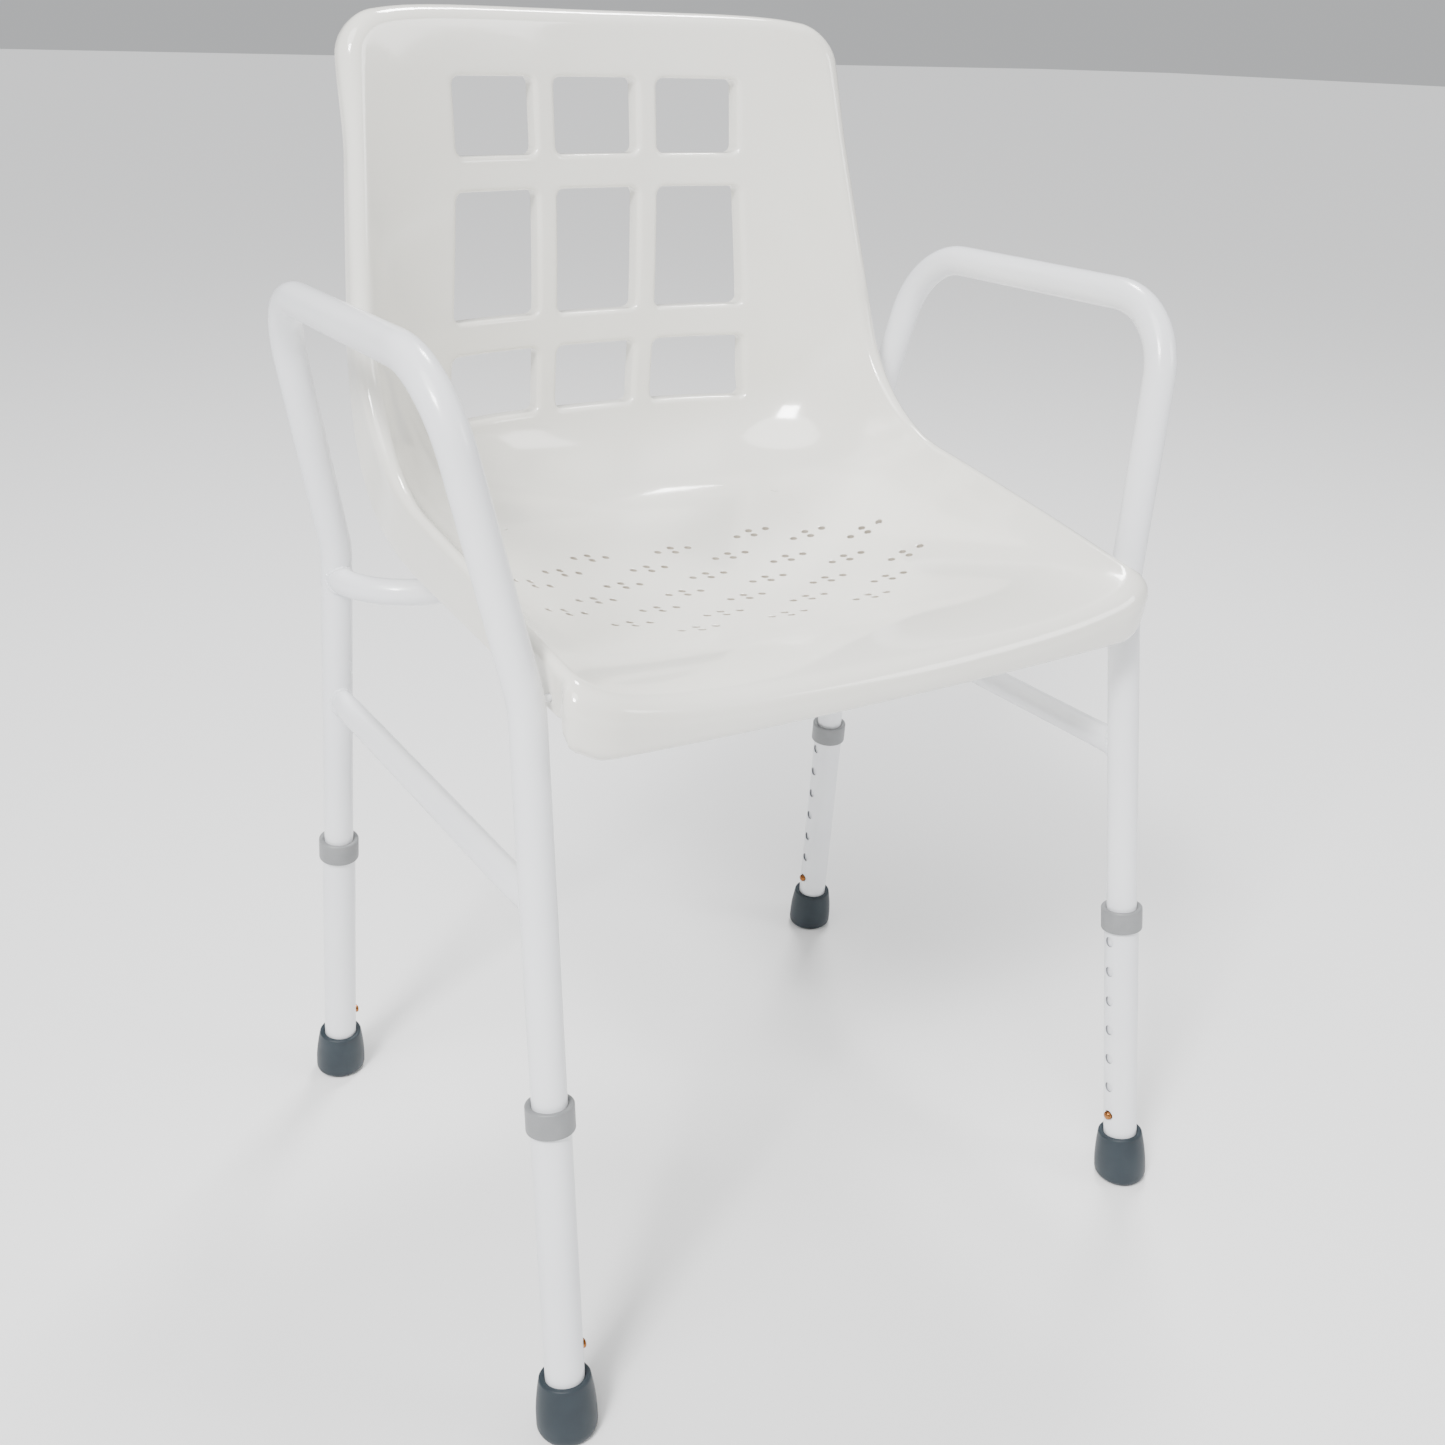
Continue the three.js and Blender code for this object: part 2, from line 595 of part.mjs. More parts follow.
// The moulding before its openings: the sitting side with its rim, and the same moved in by the wall.
function shellBlank() {
  const columns = stations(16, 0.36);
  const rows = shellRows();
  const width = columns.length;
  const places = rows.flatMap((b) => columns.map((a) => roundedPlace(a, b)));
  const points = places.map(([u, t]) => shellPoint(u, t));
  const loop = [];
  for (let i = 0; i < width - 1; i += 1) loop.push(i);
  for (let j = 0; j < rows.length - 1; j += 1) loop.push(j * width + width - 1);
  for (let i = width - 1; i > 0; i -= 1) loop.push((rows.length - 1) * width + i);
  for (let j = rows.length - 1; j > 0; j -= 1) loop.push(j * width);
  const count = loop.length;
  const rims = loop.map((at, i) =>
    rimPoints(places[at], places[loop[(i + count - 1) % count]], places[loop[(i + 1) % count]]));
  const rings = [loop];
  for (let ring = 0; ring < rims[0].length; ring += 1) {
    rings.push(rims.map((rim) => points.push(rim[ring]) - 1));
  }
  const faces = [];
  const quad = (a, b, c, d) => faces.push(a, b, c, a, c, d);
  for (let j = 0; j < rows.length - 1; j += 1) {
    for (let i = 0; i < width - 1; i += 1) {
      const at = j * width + i;
      quad(at, at + 1, at + width + 1, at + width);
    }
  }
  for (let ring = 0; ring < rings.length - 1; ring += 1) {
    for (let i = 0; i < count; i += 1) {
      const next = (i + 1) % count;
      quad(rings[ring + 1][i], rings[ring + 1][next], rings[ring][next], rings[ring][i]);
    }
  }
  return thicken(points, faces, rings[rings.length - 1]);
}

// Closes a sheet with a copy of itself moved back along its normals, and a strip along its edge.
function thicken(points, faces, edge) {
  const sheet = new THREE.BufferGeometry().setFromPoints(points);
  sheet.setIndex(faces);
  sheet.computeVertexNormals();
  const normals = sheet.attributes.normal;
  const total = points.length;
  const inner = points.map((point, i) =>
    point.clone().addScaledVector(new THREE.Vector3().fromBufferAttribute(normals, i), -WALL));
  const index = [...faces];
  for (let i = 0; i < faces.length; i += 3) {
    index.push(total + faces[i], total + faces[i + 2], total + faces[i + 1]);
  }
  edge.forEach((at, i) => {
    const next = edge[(i + 1) % edge.length];
    index.push(at, total + at, total + next, at, total + next, next);
  });
  const closed = new THREE.BufferGeometry().setFromPoints([...points, ...inner]);
  closed.setIndex(index);
  return closed;
}

// Window openings, each given by its four corners in X and Z. The outer sides spread downwards.
function windows() {
  const topRow = PAN.low + WINDOW_ROWS[2][0];
  const outer = (z) => WINDOW.outer + WINDOW.spread * Math.max(topRow - z, 0);
  const side = () => WINDOW.inner + WINDOW.rib;
  const inner = () => WINDOW.inner;
  const columns = [[(z) => -inner(z), inner], [side, outer], [(z) => -outer(z), (z) => -side(z)]];
  return WINDOW_ROWS.flatMap(([low, high]) => columns.map(([left, right]) =>
    [low, low, high, high].map((above, i) => {
      const z = PAN.low + above;
      return [i === 0 || i === 3 ? left(z) : right(z), z];
    })));
}

function windowOutline(corners, grow) {
  const middleX = (corners[0][0] + corners[1][0]) / 2;
  const middleZ = (corners[0][1] + corners[2][1]) / 2;
  const grown = corners.map(([x, z]) =>
    new THREE.Vector3(x + grow * Math.sign(x - middleX), -z - grow * Math.sign(z - middleZ), 0));
  const outline = grown.flatMap((corner, i) =>
    bend(grown[(i + 3) % 4], corner, grown[(i + 1) % 4], WINDOW.corner + grow, 2));
  return new THREE.Shape(outline.map(({ x, y }) => new THREE.Vector2(x, y)));
}

function windowPrism(opening, grow) {
  const depth = 160;
  const shape = windowOutline(opening, grow);
  const prism = new THREE.ExtrudeGeometry(shape, { depth, bevelEnabled: false });
  return prism.rotateX(-Math.PI / 2).translate(0, depth / 2, 0);
}

// A slab behind the backrest, from which the window flanges are cut.
function flangeSlab() {
  const columns = stations(10, 0);
  const rows = [1.7, 1.85, 2, 2.2, 2.4, 2.6, 2.8, 2.97].map((value) => value / 3);
  const points = [];
  for (const offset of [WALL / 2, WALL + WINDOW.flange]) {
    for (const t of rows) {
      for (const a of columns) {
        const u = 0.75 * a;
        points.push(shellPoint(u, t).addScaledVector(shellNormal(u, t), -offset));
      }
    }
  }
  const [width, height] = [columns.length, rows.length];
  const layer = width * height;
  const faces = [];
  const quad = (a, b, c, d) => faces.push(a, b, c, a, c, d);
  for (let j = 0; j < height - 1; j += 1) {
    for (let i = 0; i < width - 1; i += 1) {
      const at = j * width + i;
      quad(at, at + 1, at + width + 1, at + width);
      quad(layer + at, layer + at + width, layer + at + width + 1, layer + at + 1);
    }
  }
  const wallQuad = (a, b) => quad(layer + a, layer + b, b, a);
  for (let i = 0; i < width - 1; i += 1) {
    wallQuad(i, i + 1);
    wallQuad(layer - i - 1, layer - i - 2);
  }
  for (let j = 0; j < height - 1; j += 1) {
    wallQuad((j + 1) * width - 1, (j + 2) * width - 1);
    wallQuad((j + 1) * width, j * width);
  }
  const slab = new THREE.BufferGeometry().setFromPoints(points);
  slab.setIndex(faces);
  return slab;
}

// The four-hole drain clusters of the pan.
function drainHoles() {
  const { stepX, stepY, rearY, halfX, halfY } = DRAIN;
  return DRAIN_ROWS.flatMap((row, i) => row.flatMap((column) => {
    const [x, y] = [column * stepX, rearY - i * stepY];
    const spots = [[x - halfX, y], [x + halfX, y], [x, y - halfY], [x, y + halfY]];
    return spots.map(([holeX, holeY]) => rod(new THREE.Vector3(holeX, holeY, PAN.low - 30),
      new THREE.Vector3(holeX, holeY, PAN.low + 40), DRAIN.radius, 4));
  }));
}

// Where the clips sit, and the screws at each.
function clipPlaces() {
  return [["left", 1], ["right", -1]].map(([name, side]) => ({ name, x: side * CLIP.x, y: CROSS.y }));
}

function screwPlaces() {
  return clipPlaces().flatMap(({ name, x, y }) =>
    [["a", -1], ["b", 1]].map(([letter, way]) =>
      ({ name: `${name}_${letter}`, x, y: y + way * CLIP.screwY })));
}

// Where a front bolt's head bears on the inner face of the moulding's side.
function boltPlace(side) {
  const y = SEAT_BEND.front + (BOLT.up * (ARM_BEND.front - SEAT_BEND.front)) / (ARM_BEND.z - SEAT_BEND.z);
  let [low, high] = [0, 1 / 3];
  for (let i = 0; i < 30; i += 1) {
    const middle = (low + high) / 2;
    if (crestPoint(middle)[0] < y) low = middle;
    else high = middle;
  }
  const flange = rimPoints([1, low], [1, low - 1e-3], [1, low + 1e-3]);
  const face = flange[flange.length - 1].x - WALL - BOLT.curve;
  return new THREE.Vector3(side * face, y, SEAT_BEND.z + BOLT.up);
}

// The height of the sitting surface over a place on the floor, found by halving.
function seatHeight(x, y) {
  const u = x / HALF.seat;
  let [low, high] = [0, 0.6];
  for (let i = 0; i < 30; i += 1) {
    const middle = (low + high) / 2;
    if (shellPoint(u, middle).y < y) low = middle;
    else high = middle;
  }
  return shellPoint(u, low).z;
}

// A boss stands under the pan at each screw. Its upper end is inside the wall.
function bossRod({ x, y }) {
  const top = seatHeight(x, y) - WALL / 2;
  return rod(new THREE.Vector3(x, y, SEAT_BOTTOM_Z + GAP), new THREE.Vector3(x, y, top), BOSS.radius, 10);
}

function pilotHole({ x, y }) {
  const bottom = SEAT_BOTTOM_Z - GAP;
  const top = SEAT_BOTTOM_Z - CLIP.thickness + SCREW.length + GAP;
  return rod(new THREE.Vector3(x, y, bottom), new THREE.Vector3(x, y, top), SCREW.radius + GAP, 8);
}

function seatShell() {
  let solid = toSolid(shellBlank());
  const slab = toSolid(flangeSlab());
  for (const opening of windows()) {
    solid = solid.add(slab.intersect(toSolid(windowPrism(opening, WINDOW.wall))));
  }
  for (const opening of windows()) {
    solid = solid.subtract(toSolid(windowPrism(opening, 0)));
  }
  for (const place of screwPlaces()) {
    solid = solid.add(toSolid(bossRod(place))).subtract(toSolid(pilotHole(place)));
  }
  for (const side of [1, -1]) {
    const place = boltPlace(side);
    const [inside, outside] = [-WALL, 2 * WALL].map((way) => place.clone().setX(place.x + side * way));
    solid = solid.subtract(toSolid(rod(inside, outside, BOLT.radius + GAP, 8)));
  }
  for (const hole of drainHoles()) {
    solid = solid.subtract(toSolid(hole));
  }
  return toGeometry(solid);
}

// A strap under the tube, with an ear on each side for a screw.
function saddleClip() {
  const inner = THIN_R + GAP;
  const outer = inner + CLIP.thickness;
  const arc = (radius, from, to) => Array.from({ length: 8 }, (_, i) => {
    const angle = from + ((to - from) * i) / 7;
    return new THREE.Vector2(radius * Math.cos(angle), radius * Math.sin(angle));
  });
  const earTop = THIN_R - CLIP.drop;
  const [earBottom, reach] = [earTop - CLIP.thickness, outer + CLIP.ear];
  const corner = (x, z) => new THREE.Vector2(x, z);
  const shape = new THREE.Shape([corner(-reach, earTop), corner(-reach, earBottom),
    corner(-outer, earBottom), ...arc(outer, Math.PI, 2 * Math.PI), corner(outer, earBottom),
    corner(reach, earBottom), corner(reach, earTop), corner(inner, earTop),
    ...arc(inner, 2 * Math.PI, Math.PI), corner(-inner, earTop)]);
  const strap = new THREE.ExtrudeGeometry(shape, { depth: CLIP.width, bevelEnabled: false });
  strap.translate(0, 0, -CLIP.width / 2).rotateX(Math.PI / 2).rotateZ(Math.PI / 2);
  const holes = [-1, 1].map((way) => rod(new THREE.Vector3(0, way * CLIP.screwY, 0),
    new THREE.Vector3(0, way * CLIP.screwY, 2 * THIN_R), SCREW.radius + GAP, 8));
  return cut(strap, holes);
}

function seatScrew() {
  const seat = THIN_R - CLIP.drop - CLIP.thickness - GAP;
  const { radius, headRadius, head, length } = SCREW;
  return turned([[0, seat - head], [headRadius - 1, seat - head], [headRadius, seat - head / 2],
    [headRadius, seat], [radius, seat], [radius, seat + length], [0, seat + length]], 8);
}

// A bolt with its head on the inner face of the moulding, pointing along the local Z axis.
function seatBolt() {
  const { radius, headRadius, head, beyond } = BOLT;
  const length = SEAT_BEND.x - TUBE_R + TUBE_WALL - Math.abs(boltPlace(1).x) + beyond;
  return turned([[0, -GAP - head], [headRadius - 1, -GAP - head], [headRadius, -GAP - head / 2],
    [headRadius, -GAP], [radius, -GAP], [radius, length], [0, length]], 8);
}

for (const [name, side] of [["left", 1], ["right", -1]]) {
  addMesh(chair, `side_frame_${name}`, sideFrame(side), "frame");
  addMesh(chair, `side_rail_${name}`, sideRail(side), "frame");
}
addMesh(chair, "rear_cross_tube", rearCrossTube(), "frame");

for (const corner of CORNERS) {
  const leg = new THREE.Group();
  leg.applyMatrix4(legMatrix(corner));
  addMesh(leg, `leg_sleeve_${corner.name}`, legSleeve(), "sleeve");
  addMesh(leg, `leg_collar_${corner.name}`, legCollar(), "collar");
  addMesh(leg, `foot_tip_${corner.name}`, footTip(corner), "rubber");
  addMesh(leg, `tip_washer_${corner.name}`, tipWasher(), "steel");
  addMesh(leg, `snap_button_${corner.name}`, snapButton(), "copper");
  addMesh(leg, `spring_arm_${corner.name}`, springArm(), "copper");
  addMesh(leg, `spring_clip_${corner.name}`, springClip(), "copper");
  chair.add(leg);
}

addMesh(chair, "seat_shell", seatShell(), "shell");
for (const { name, x, y } of clipPlaces()) {
  const holder = new THREE.Group();
  holder.position.set(x, y, CROSS.z);
  addMesh(holder, `saddle_clip_${name}`, saddleClip(), "steel");
  chair.add(holder);
}
for (const { name, x, y } of screwPlaces()) {
  const holder = new THREE.Group();
  holder.position.set(x, y, CROSS.z);
  addMesh(holder, `seat_screw_${name}`, seatScrew(), "steel");
  chair.add(holder);
}
for (const [name, side] of [["left", 1], ["right", -1]]) {
  const holder = new THREE.Group();
  holder.position.copy(boltPlace(side));
  holder.rotation.y = (side * Math.PI) / 2;
  addMesh(holder, `seat_bolt_${name}`, seatBolt(), "steel");
  chair.add(holder);
}

export default chair;
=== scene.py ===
"""Looks of a height-adjustable shower chair: a one-piece moulding on a welded tube frame.

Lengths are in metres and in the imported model's own frame. The floor is at zero, the sitter
faces -Y and the sitter's left is +X.
"""

import json
import logging
import math
from collections.abc import Callable, Iterable, Sequence
from dataclasses import dataclass, field
from enum import Enum

import bmesh
import bpy
from mathutils import Matrix, Quaternion, Vector


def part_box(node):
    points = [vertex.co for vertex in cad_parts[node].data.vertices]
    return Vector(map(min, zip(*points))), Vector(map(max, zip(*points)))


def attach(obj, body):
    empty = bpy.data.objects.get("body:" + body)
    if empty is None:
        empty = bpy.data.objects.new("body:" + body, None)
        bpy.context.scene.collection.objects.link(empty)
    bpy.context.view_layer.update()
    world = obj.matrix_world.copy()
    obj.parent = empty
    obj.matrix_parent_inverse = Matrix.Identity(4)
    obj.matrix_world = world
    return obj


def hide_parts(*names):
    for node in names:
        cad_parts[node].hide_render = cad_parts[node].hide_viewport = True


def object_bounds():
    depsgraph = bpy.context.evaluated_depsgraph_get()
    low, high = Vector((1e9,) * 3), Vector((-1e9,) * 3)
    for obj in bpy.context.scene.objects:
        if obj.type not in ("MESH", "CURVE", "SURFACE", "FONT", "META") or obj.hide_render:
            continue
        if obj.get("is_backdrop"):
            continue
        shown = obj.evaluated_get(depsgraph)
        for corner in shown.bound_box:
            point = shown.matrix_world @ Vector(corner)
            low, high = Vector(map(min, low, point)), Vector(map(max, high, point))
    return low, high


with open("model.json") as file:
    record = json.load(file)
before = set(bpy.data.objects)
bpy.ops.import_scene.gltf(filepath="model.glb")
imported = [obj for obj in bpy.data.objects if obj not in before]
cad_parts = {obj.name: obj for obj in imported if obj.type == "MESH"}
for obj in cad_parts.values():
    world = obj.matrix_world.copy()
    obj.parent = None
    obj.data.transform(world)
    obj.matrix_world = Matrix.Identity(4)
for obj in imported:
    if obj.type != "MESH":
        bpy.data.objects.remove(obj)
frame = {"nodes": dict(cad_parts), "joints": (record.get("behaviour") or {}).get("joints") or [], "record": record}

FRAME_BODY = "frame"
MM = 0.001
Z_AXIS = Vector((0.0, 0.0, 1.0))
SMOOTH_ANGLE = math.radians(32)

log = logging.getLogger("shower_chair")

Face = tuple[int, ...]
Colour = tuple[float, float, float]


class Side(Enum):
    """The sitter's left and right, with the sign of X."""

    LEFT = 1
    RIGHT = -1


class End(Enum):
    """The front and the rear of the chair."""

    FRONT = "front"
    REAR = "rear"


# Plain sums.


def lerp(a: float, b: float, t: float) -> float:
    """Return the value a part t of the way from a to b."""
    return a + (b - a) * t


def clamp(value: float, low: float = 0.0, high: float = 1.0) -> float:
    """Return the value held between low and high."""
    return max(low, min(high, value))


def smoothstep(value: float, low: float, high: float) -> float:
    """Return 0 below low, 1 above high and an eased value between them."""
    part = clamp((value - low) / (high - low))
    return part * part * (3 - 2 * part)


def halve(test: Callable[[float], bool], low: float, high: float) -> float:
    """Find by halving where a test stops being true.

    Args:
        test: True below the place looked for, false above it.
        low: A value where the test is true.
        high: A value where the test is false.

    Returns:
        The place, to well under a micrometre.
    """
    for _ in range(32):
        middle = (low + high) / 2
        if test(middle):
            low = middle
        else:
            high = middle
    return low


# Meshes.


@dataclass
class Sheet:
    """Points and faces that grow together until they become a mesh."""

    points: list[Vector] = field(default_factory=list)
    faces: list[Face] = field(default_factory=list)

    def ring(self, points: Iterable[Vector]) -> list[int]:
        """Add points and return their numbers."""
        start = len(self.points)
        self.points.extend(points)
        return list(range(start, len(self.points)))

    def band(self, first: Sequence[int], second: Sequence[int]) -> None:
        """Join two closed rings of as many points with faces."""
        count = len(first)
        for i in range(count):
            j = (i + 1) % count
            self.faces.append((first[i], first[j], second[j], second[i]))

    def cap(self, ring: Sequence[int], flip: bool = False) -> None:
        """Close a ring with a fan round its middle point."""
        middle = sum((self.points[i] for i in ring), Vector()) / len(ring)
        hub = self.ring([middle])[0]
        for i, at in enumerate(ring):
            after = ring[(i + 1) % len(ring)]
            self.faces.append((hub, after, at) if flip else (hub, at, after))

    def loft(self, rings: Sequence[Sequence[int]], capped: bool = True) -> None:
        """Join rings in order, and close the first and the last unless told not to."""
        for first, second in zip(rings, rings[1:]):
            self.band(first, second)
        if capped:
            self.cap(rings[0], flip=True)
            self.cap(rings[-1])

    def add(self, other: "Sheet", place: Matrix | None = None) -> None:
        """Add another sheet's points and faces, moved by a matrix."""
        start = len(self.points)
        move = place or Matrix()
        self.points.extend(move @ point for point in other.points)
        self.faces.extend(tuple(start + i for i in face) for face in other.faces)

    def mesh(self, name: str, angle: float = SMOOTH_ANGLE) -> bpy.types.Mesh:
        """Make a mesh with its faces outwards.

        Args:
            name: The mesh's name.
            angle: Edges sharper than this stay sharp.

        Returns:
            The mesh.
        """
        mesh = bpy.data.meshes.new(name)
        mesh.from_pydata([tuple(point) for point in self.points], [], self.faces)
        face_outwards(mesh)
        shade(mesh, angle)
        return mesh


def face_outwards(mesh: bpy.types.Mesh) -> None:
    """Merge doubled points and turn every face outwards."""
    work = bmesh.new()
    work.from_mesh(mesh)
    bmesh.ops.remove_doubles(work, verts=work.verts, dist=1e-6)
    bmesh.ops.recalc_face_normals(work, faces=work.faces)
    work.to_mesh(mesh)
    work.free()


def shade(mesh: bpy.types.Mesh, angle: float = SMOOTH_ANGLE) -> None:
    """Shade a mesh smooth, apart from the edges sharper than an angle."""
    mesh.shade_smooth()
    mesh.set_sharp_from_angle(angle=angle)


def place_object(name: str, mesh: bpy.types.Mesh) -> bpy.types.Object:
    """Put a mesh in the scene as an object at the origin."""
    piece = bpy.data.objects.new(name, mesh)
    bpy.context.scene.collection.objects.link(piece)
    return piece


def discard(piece: bpy.types.Object) -> None:
    """Take a helper object and its mesh out of the file."""
    mesh = piece.data
    bpy.data.objects.remove(piece)
    bpy.data.meshes.remove(mesh)


def combine(piece: bpy.types.Object, other: bpy.types.Object, operation: str) -> None:
    """Join another solid to a piece, or cut it out, and discard the other.

    Args:
        piece: The object whose mesh changes.
        other: The solid to use.
        operation: UNION or DIFFERENCE.
    """
    modifier = piece.modifiers.new(operation, "BOOLEAN")
    modifier.operation = operation
    modifier.solver = "MANIFOLD"
    modifier.object = other
    settle(piece)
    discard(other)


def settle(piece: bpy.types.Object) -> None:
    """Turn an object's evaluated shape into its plain mesh and drop its modifiers."""
    bpy.context.view_layer.update()
    graph = bpy.context.evaluated_depsgraph_get()
    made = bpy.data.meshes.new_from_object(piece.evaluated_get(graph), depsgraph=graph)
    old = piece.data
    piece.modifiers.clear()
    piece.data = made
    made.name = piece.name
    bpy.data.meshes.remove(old)


def turned(profile: Sequence[tuple[float, float]], sides: int = 64) -> Sheet:
    """Turn a closed profile about the local Z axis.

    Args:
        profile: Radius and height pairs. Ends on the axis are closed with a cap.
        sides: How many steps the turn takes.

    Returns:
        The turned sheet.
    """
    sheet = Sheet()
    angles = [math.tau * i / sides for i in range(sides)]
    rings = [sheet.ring(Vector((radius * math.cos(angle), radius * math.sin(angle), height))
                        for angle in angles)
             for radius, height in profile if radius > 0]
    hollow = profile[0][0] > 0 and profile[-1][0] > 0
    sheet.loft(rings, capped=not hollow)
    if hollow:
        sheet.band(rings[-1], rings[0])
    return sheet


def quarter(steps: int, start: int = 0) -> list[float]:
    """Return the angles of a quarter turn in equal steps, from one of the steps on."""
    return [math.pi / 2 * i / steps for i in range(start, steps + 1)]


def bend(before: Vector, corner: Vector, after: Vector, radius: float, steps: int) -> list[Vector]:
    """Return the points of a round bend at a corner, tangent to both of its sides."""
    inward = (before - corner).normalized()
    outward = (after - corner).normalized()
    half = inward.angle(outward) / 2
    centre = corner + (inward + outward).normalized() * (radius / math.sin(half))
    reach = radius / math.tan(half)
    start = corner + inward * reach - centre
    end = corner + outward * reach - centre
    axis = start.cross(end).normalized()
    angle = start.angle(end)
    return [centre + Quaternion(axis, angle * i / steps) @ start for i in range(steps + 1)]


def bent_path(points: Sequence[Vector], radii: Sequence[float], steps: int = 16) -> list[Vector]:
    """Return a path of straight stretches with a round bend at each inner point."""
    path = [points[0]]
    for i, radius in enumerate(radii):
        path.extend(bend(points[i], points[i + 1], points[i + 2], radius, steps))
    path.append(points[-1])
    return path


def sweep(path: Sequence[Vector], radius: float, sides: int = 40,
          section: Callable[[Vector, Vector], Vector] | None = None) -> Sheet:
    """Sweep a round section along a path, without twist.

    Args:
        path: The centre line.
        radius: The tube's outer radius.
        sides: How many sides the section has.
        section: Changes an offset from the centre line, given the centre and the offset.

    Returns:
        A closed sheet with flat ends.
    """
    sheet = Sheet()
    tangents = []
    for i in range(len(path)):
        before, after = path[max(i - 1, 0)], path[min(i + 1, len(path) - 1)]
        tangents.append((after - before).normalized())
    across = tangents[0].orthogonal().normalized()
    rings = []
    for centre, tangent in zip(path, tangents):
        across = (across - tangent * across.dot(tangent)).normalized()
        other = tangent.cross(across)
        points = []
        for i in range(sides):
            angle = math.tau * i / sides
            offset = (across * math.cos(angle) + other * math.sin(angle)) * radius
            points.append(centre + (section(centre, offset) if section else offset))
        rings.append(sheet.ring(points))
    sheet.loft(rings)
    return sheet


# Node trees.


class Tree:
    """A node tree with short calls to add named sockets and filled nodes."""

    def __init__(self, tree: bpy.types.NodeTree) -> None:
        """Keep the tree that nodes are added to."""
        self.tree = tree

    def node(self, kind: str, inputs: dict[str | int, object] | None = None,
             **settings: object) -> bpy.types.Node:
        """Add a node.

        Args:
            kind: The node's type.
            inputs: For each input a value, a socket to link from, or a list of sockets.
            settings: The node's own properties, which are set before the inputs.

        Returns:
            The node.
        """
        node = self.tree.nodes.new(kind)
        for name, value in settings.items():
            setattr(node, name, value)
        for name, value in (inputs or {}).items():
            sources = value if isinstance(value, list) else [value]
            if isinstance(sources[0], bpy.types.NodeSocket):
                for source in sources:
                    self.tree.links.new(source, node.inputs[name])
            else:
                node.inputs[name].default_value = value
        return node

    def socket(self, name: str, kind: str, way: str = "INPUT", value: object = None) -> None:
        """Add a named socket to the tree's interface.

        Args:
            name: The socket's name.
            kind: The socket's type, without its prefix.
            way: INPUT or OUTPUT.
            value: The socket's default value.
        """
        made = self.tree.interface.new_socket(name, in_out=way, socket_type=f"NodeSocket{kind}")
        if value is not None:
            made.default_value = value


def run_tree(piece: bpy.types.Object, tree: bpy.types.NodeTree, **inputs: object) -> None:
    """Run a Geometry Nodes tree on an object and keep the result as its plain mesh.

    Args:
        piece: The object whose mesh goes in and is replaced.
        tree: The tree.
        inputs: The tree's inputs by name.
    """
    modifier = piece.modifiers.new(tree.name, "NODES")
    modifier.node_group = tree
    sockets = {item.name: item.identifier for item in tree.interface.items_tree
               if item.item_type == "SOCKET" and item.in_out == "INPUT"}
    for name, value in inputs.items():
        modifier[sockets[name]] = value
    settle(piece)


def geometry_tree(name: str, **kinds: str) -> tuple[Tree, bpy.types.bpy_prop_collection]:
    """Start a Geometry Nodes tree.

    Args:
        name: The tree's name.
        kinds: The socket type of each input between its geometry and its material.

    Returns:
        The tree and its inputs by name.
    """
    made = Tree(bpy.data.node_groups.new(name, "GeometryNodeTree"))
    for label, kind in {"Geometry": "Geometry", **kinds, "Material": "Material"}.items():
        made.socket(label, kind)
    made.socket("Geometry", "Geometry", way="OUTPUT")
    return made, made.node("NodeGroupInput").outputs


def finish_tree(made: Tree, given: bpy.types.bpy_prop_collection,
                source: bpy.types.NodeSocket) -> bpy.types.NodeTree:
    """End a tree in Realize Instances and Set Material, and return it."""
    real = made.node("GeometryNodeRealizeInstances", {"Geometry": source})
    painted = made.node("GeometryNodeSetMaterial", {
        "Geometry": real.outputs["Geometry"], "Material": given["Material"]})
    made.node("NodeGroupOutput", {"Geometry": painted.outputs["Geometry"]})
    return made.tree


def cut_tree(made: Tree, given: bpy.types.bpy_prop_collection,
             copies: bpy.types.NodeSocket) -> bpy.types.NodeTree:
    """End a tree by cutting instances out of its geometry, and return it."""
    real = made.node("GeometryNodeRealizeInstances", {"Geometry": copies})
    cut = made.node("GeometryNodeMeshBoolean", {
        "Mesh 1": given["Geometry"], "Mesh 2": real.outputs["Geometry"]},
        operation="DIFFERENCE", solver="MANIFOLD")
    return finish_tree(made, given, cut.outputs["Mesh"])


def leaning_copies(made: Tree, points: bpy.types.NodeSocket,
                   source: bpy.types.NodeSocket) -> bpy.types.NodeSocket:
    """Set an object on points, each copy turned by its point's Lean attribute.

    Args:
        made: The tree.
        points: The points.
        source: The object to copy.

    Returns:
        The instances.
    """
    thing = made.node("GeometryNodeObjectInfo", {"Object": source})
    lean = made.node("GeometryNodeInputNamedAttribute", {"Name": "Lean"},
                     data_type="FLOAT_VECTOR")
    turn = made.node("FunctionNodeAlignRotationToVector",
                     {"Vector": lean.outputs["Attribute"]}, axis="Z")
    return made.node("GeometryNodeInstanceOnPoints", {
        "Points": points, "Instance": thing.outputs["Geometry"],
        "Rotation": turn.outputs["Rotation"]}).outputs["Instances"]


def perforation_tree() -> bpy.types.NodeTree:
    """Build the tree that cuts a hole at each of another object's points."""
    made, given = geometry_tree("Perforations", Points="Object", Cutter="Object")
    points = made.node("GeometryNodeObjectInfo", {"Object": given["Points"]})
    return cut_tree(made, given, leaning_copies(
        made, points.outputs["Geometry"], given["Cutter"]))


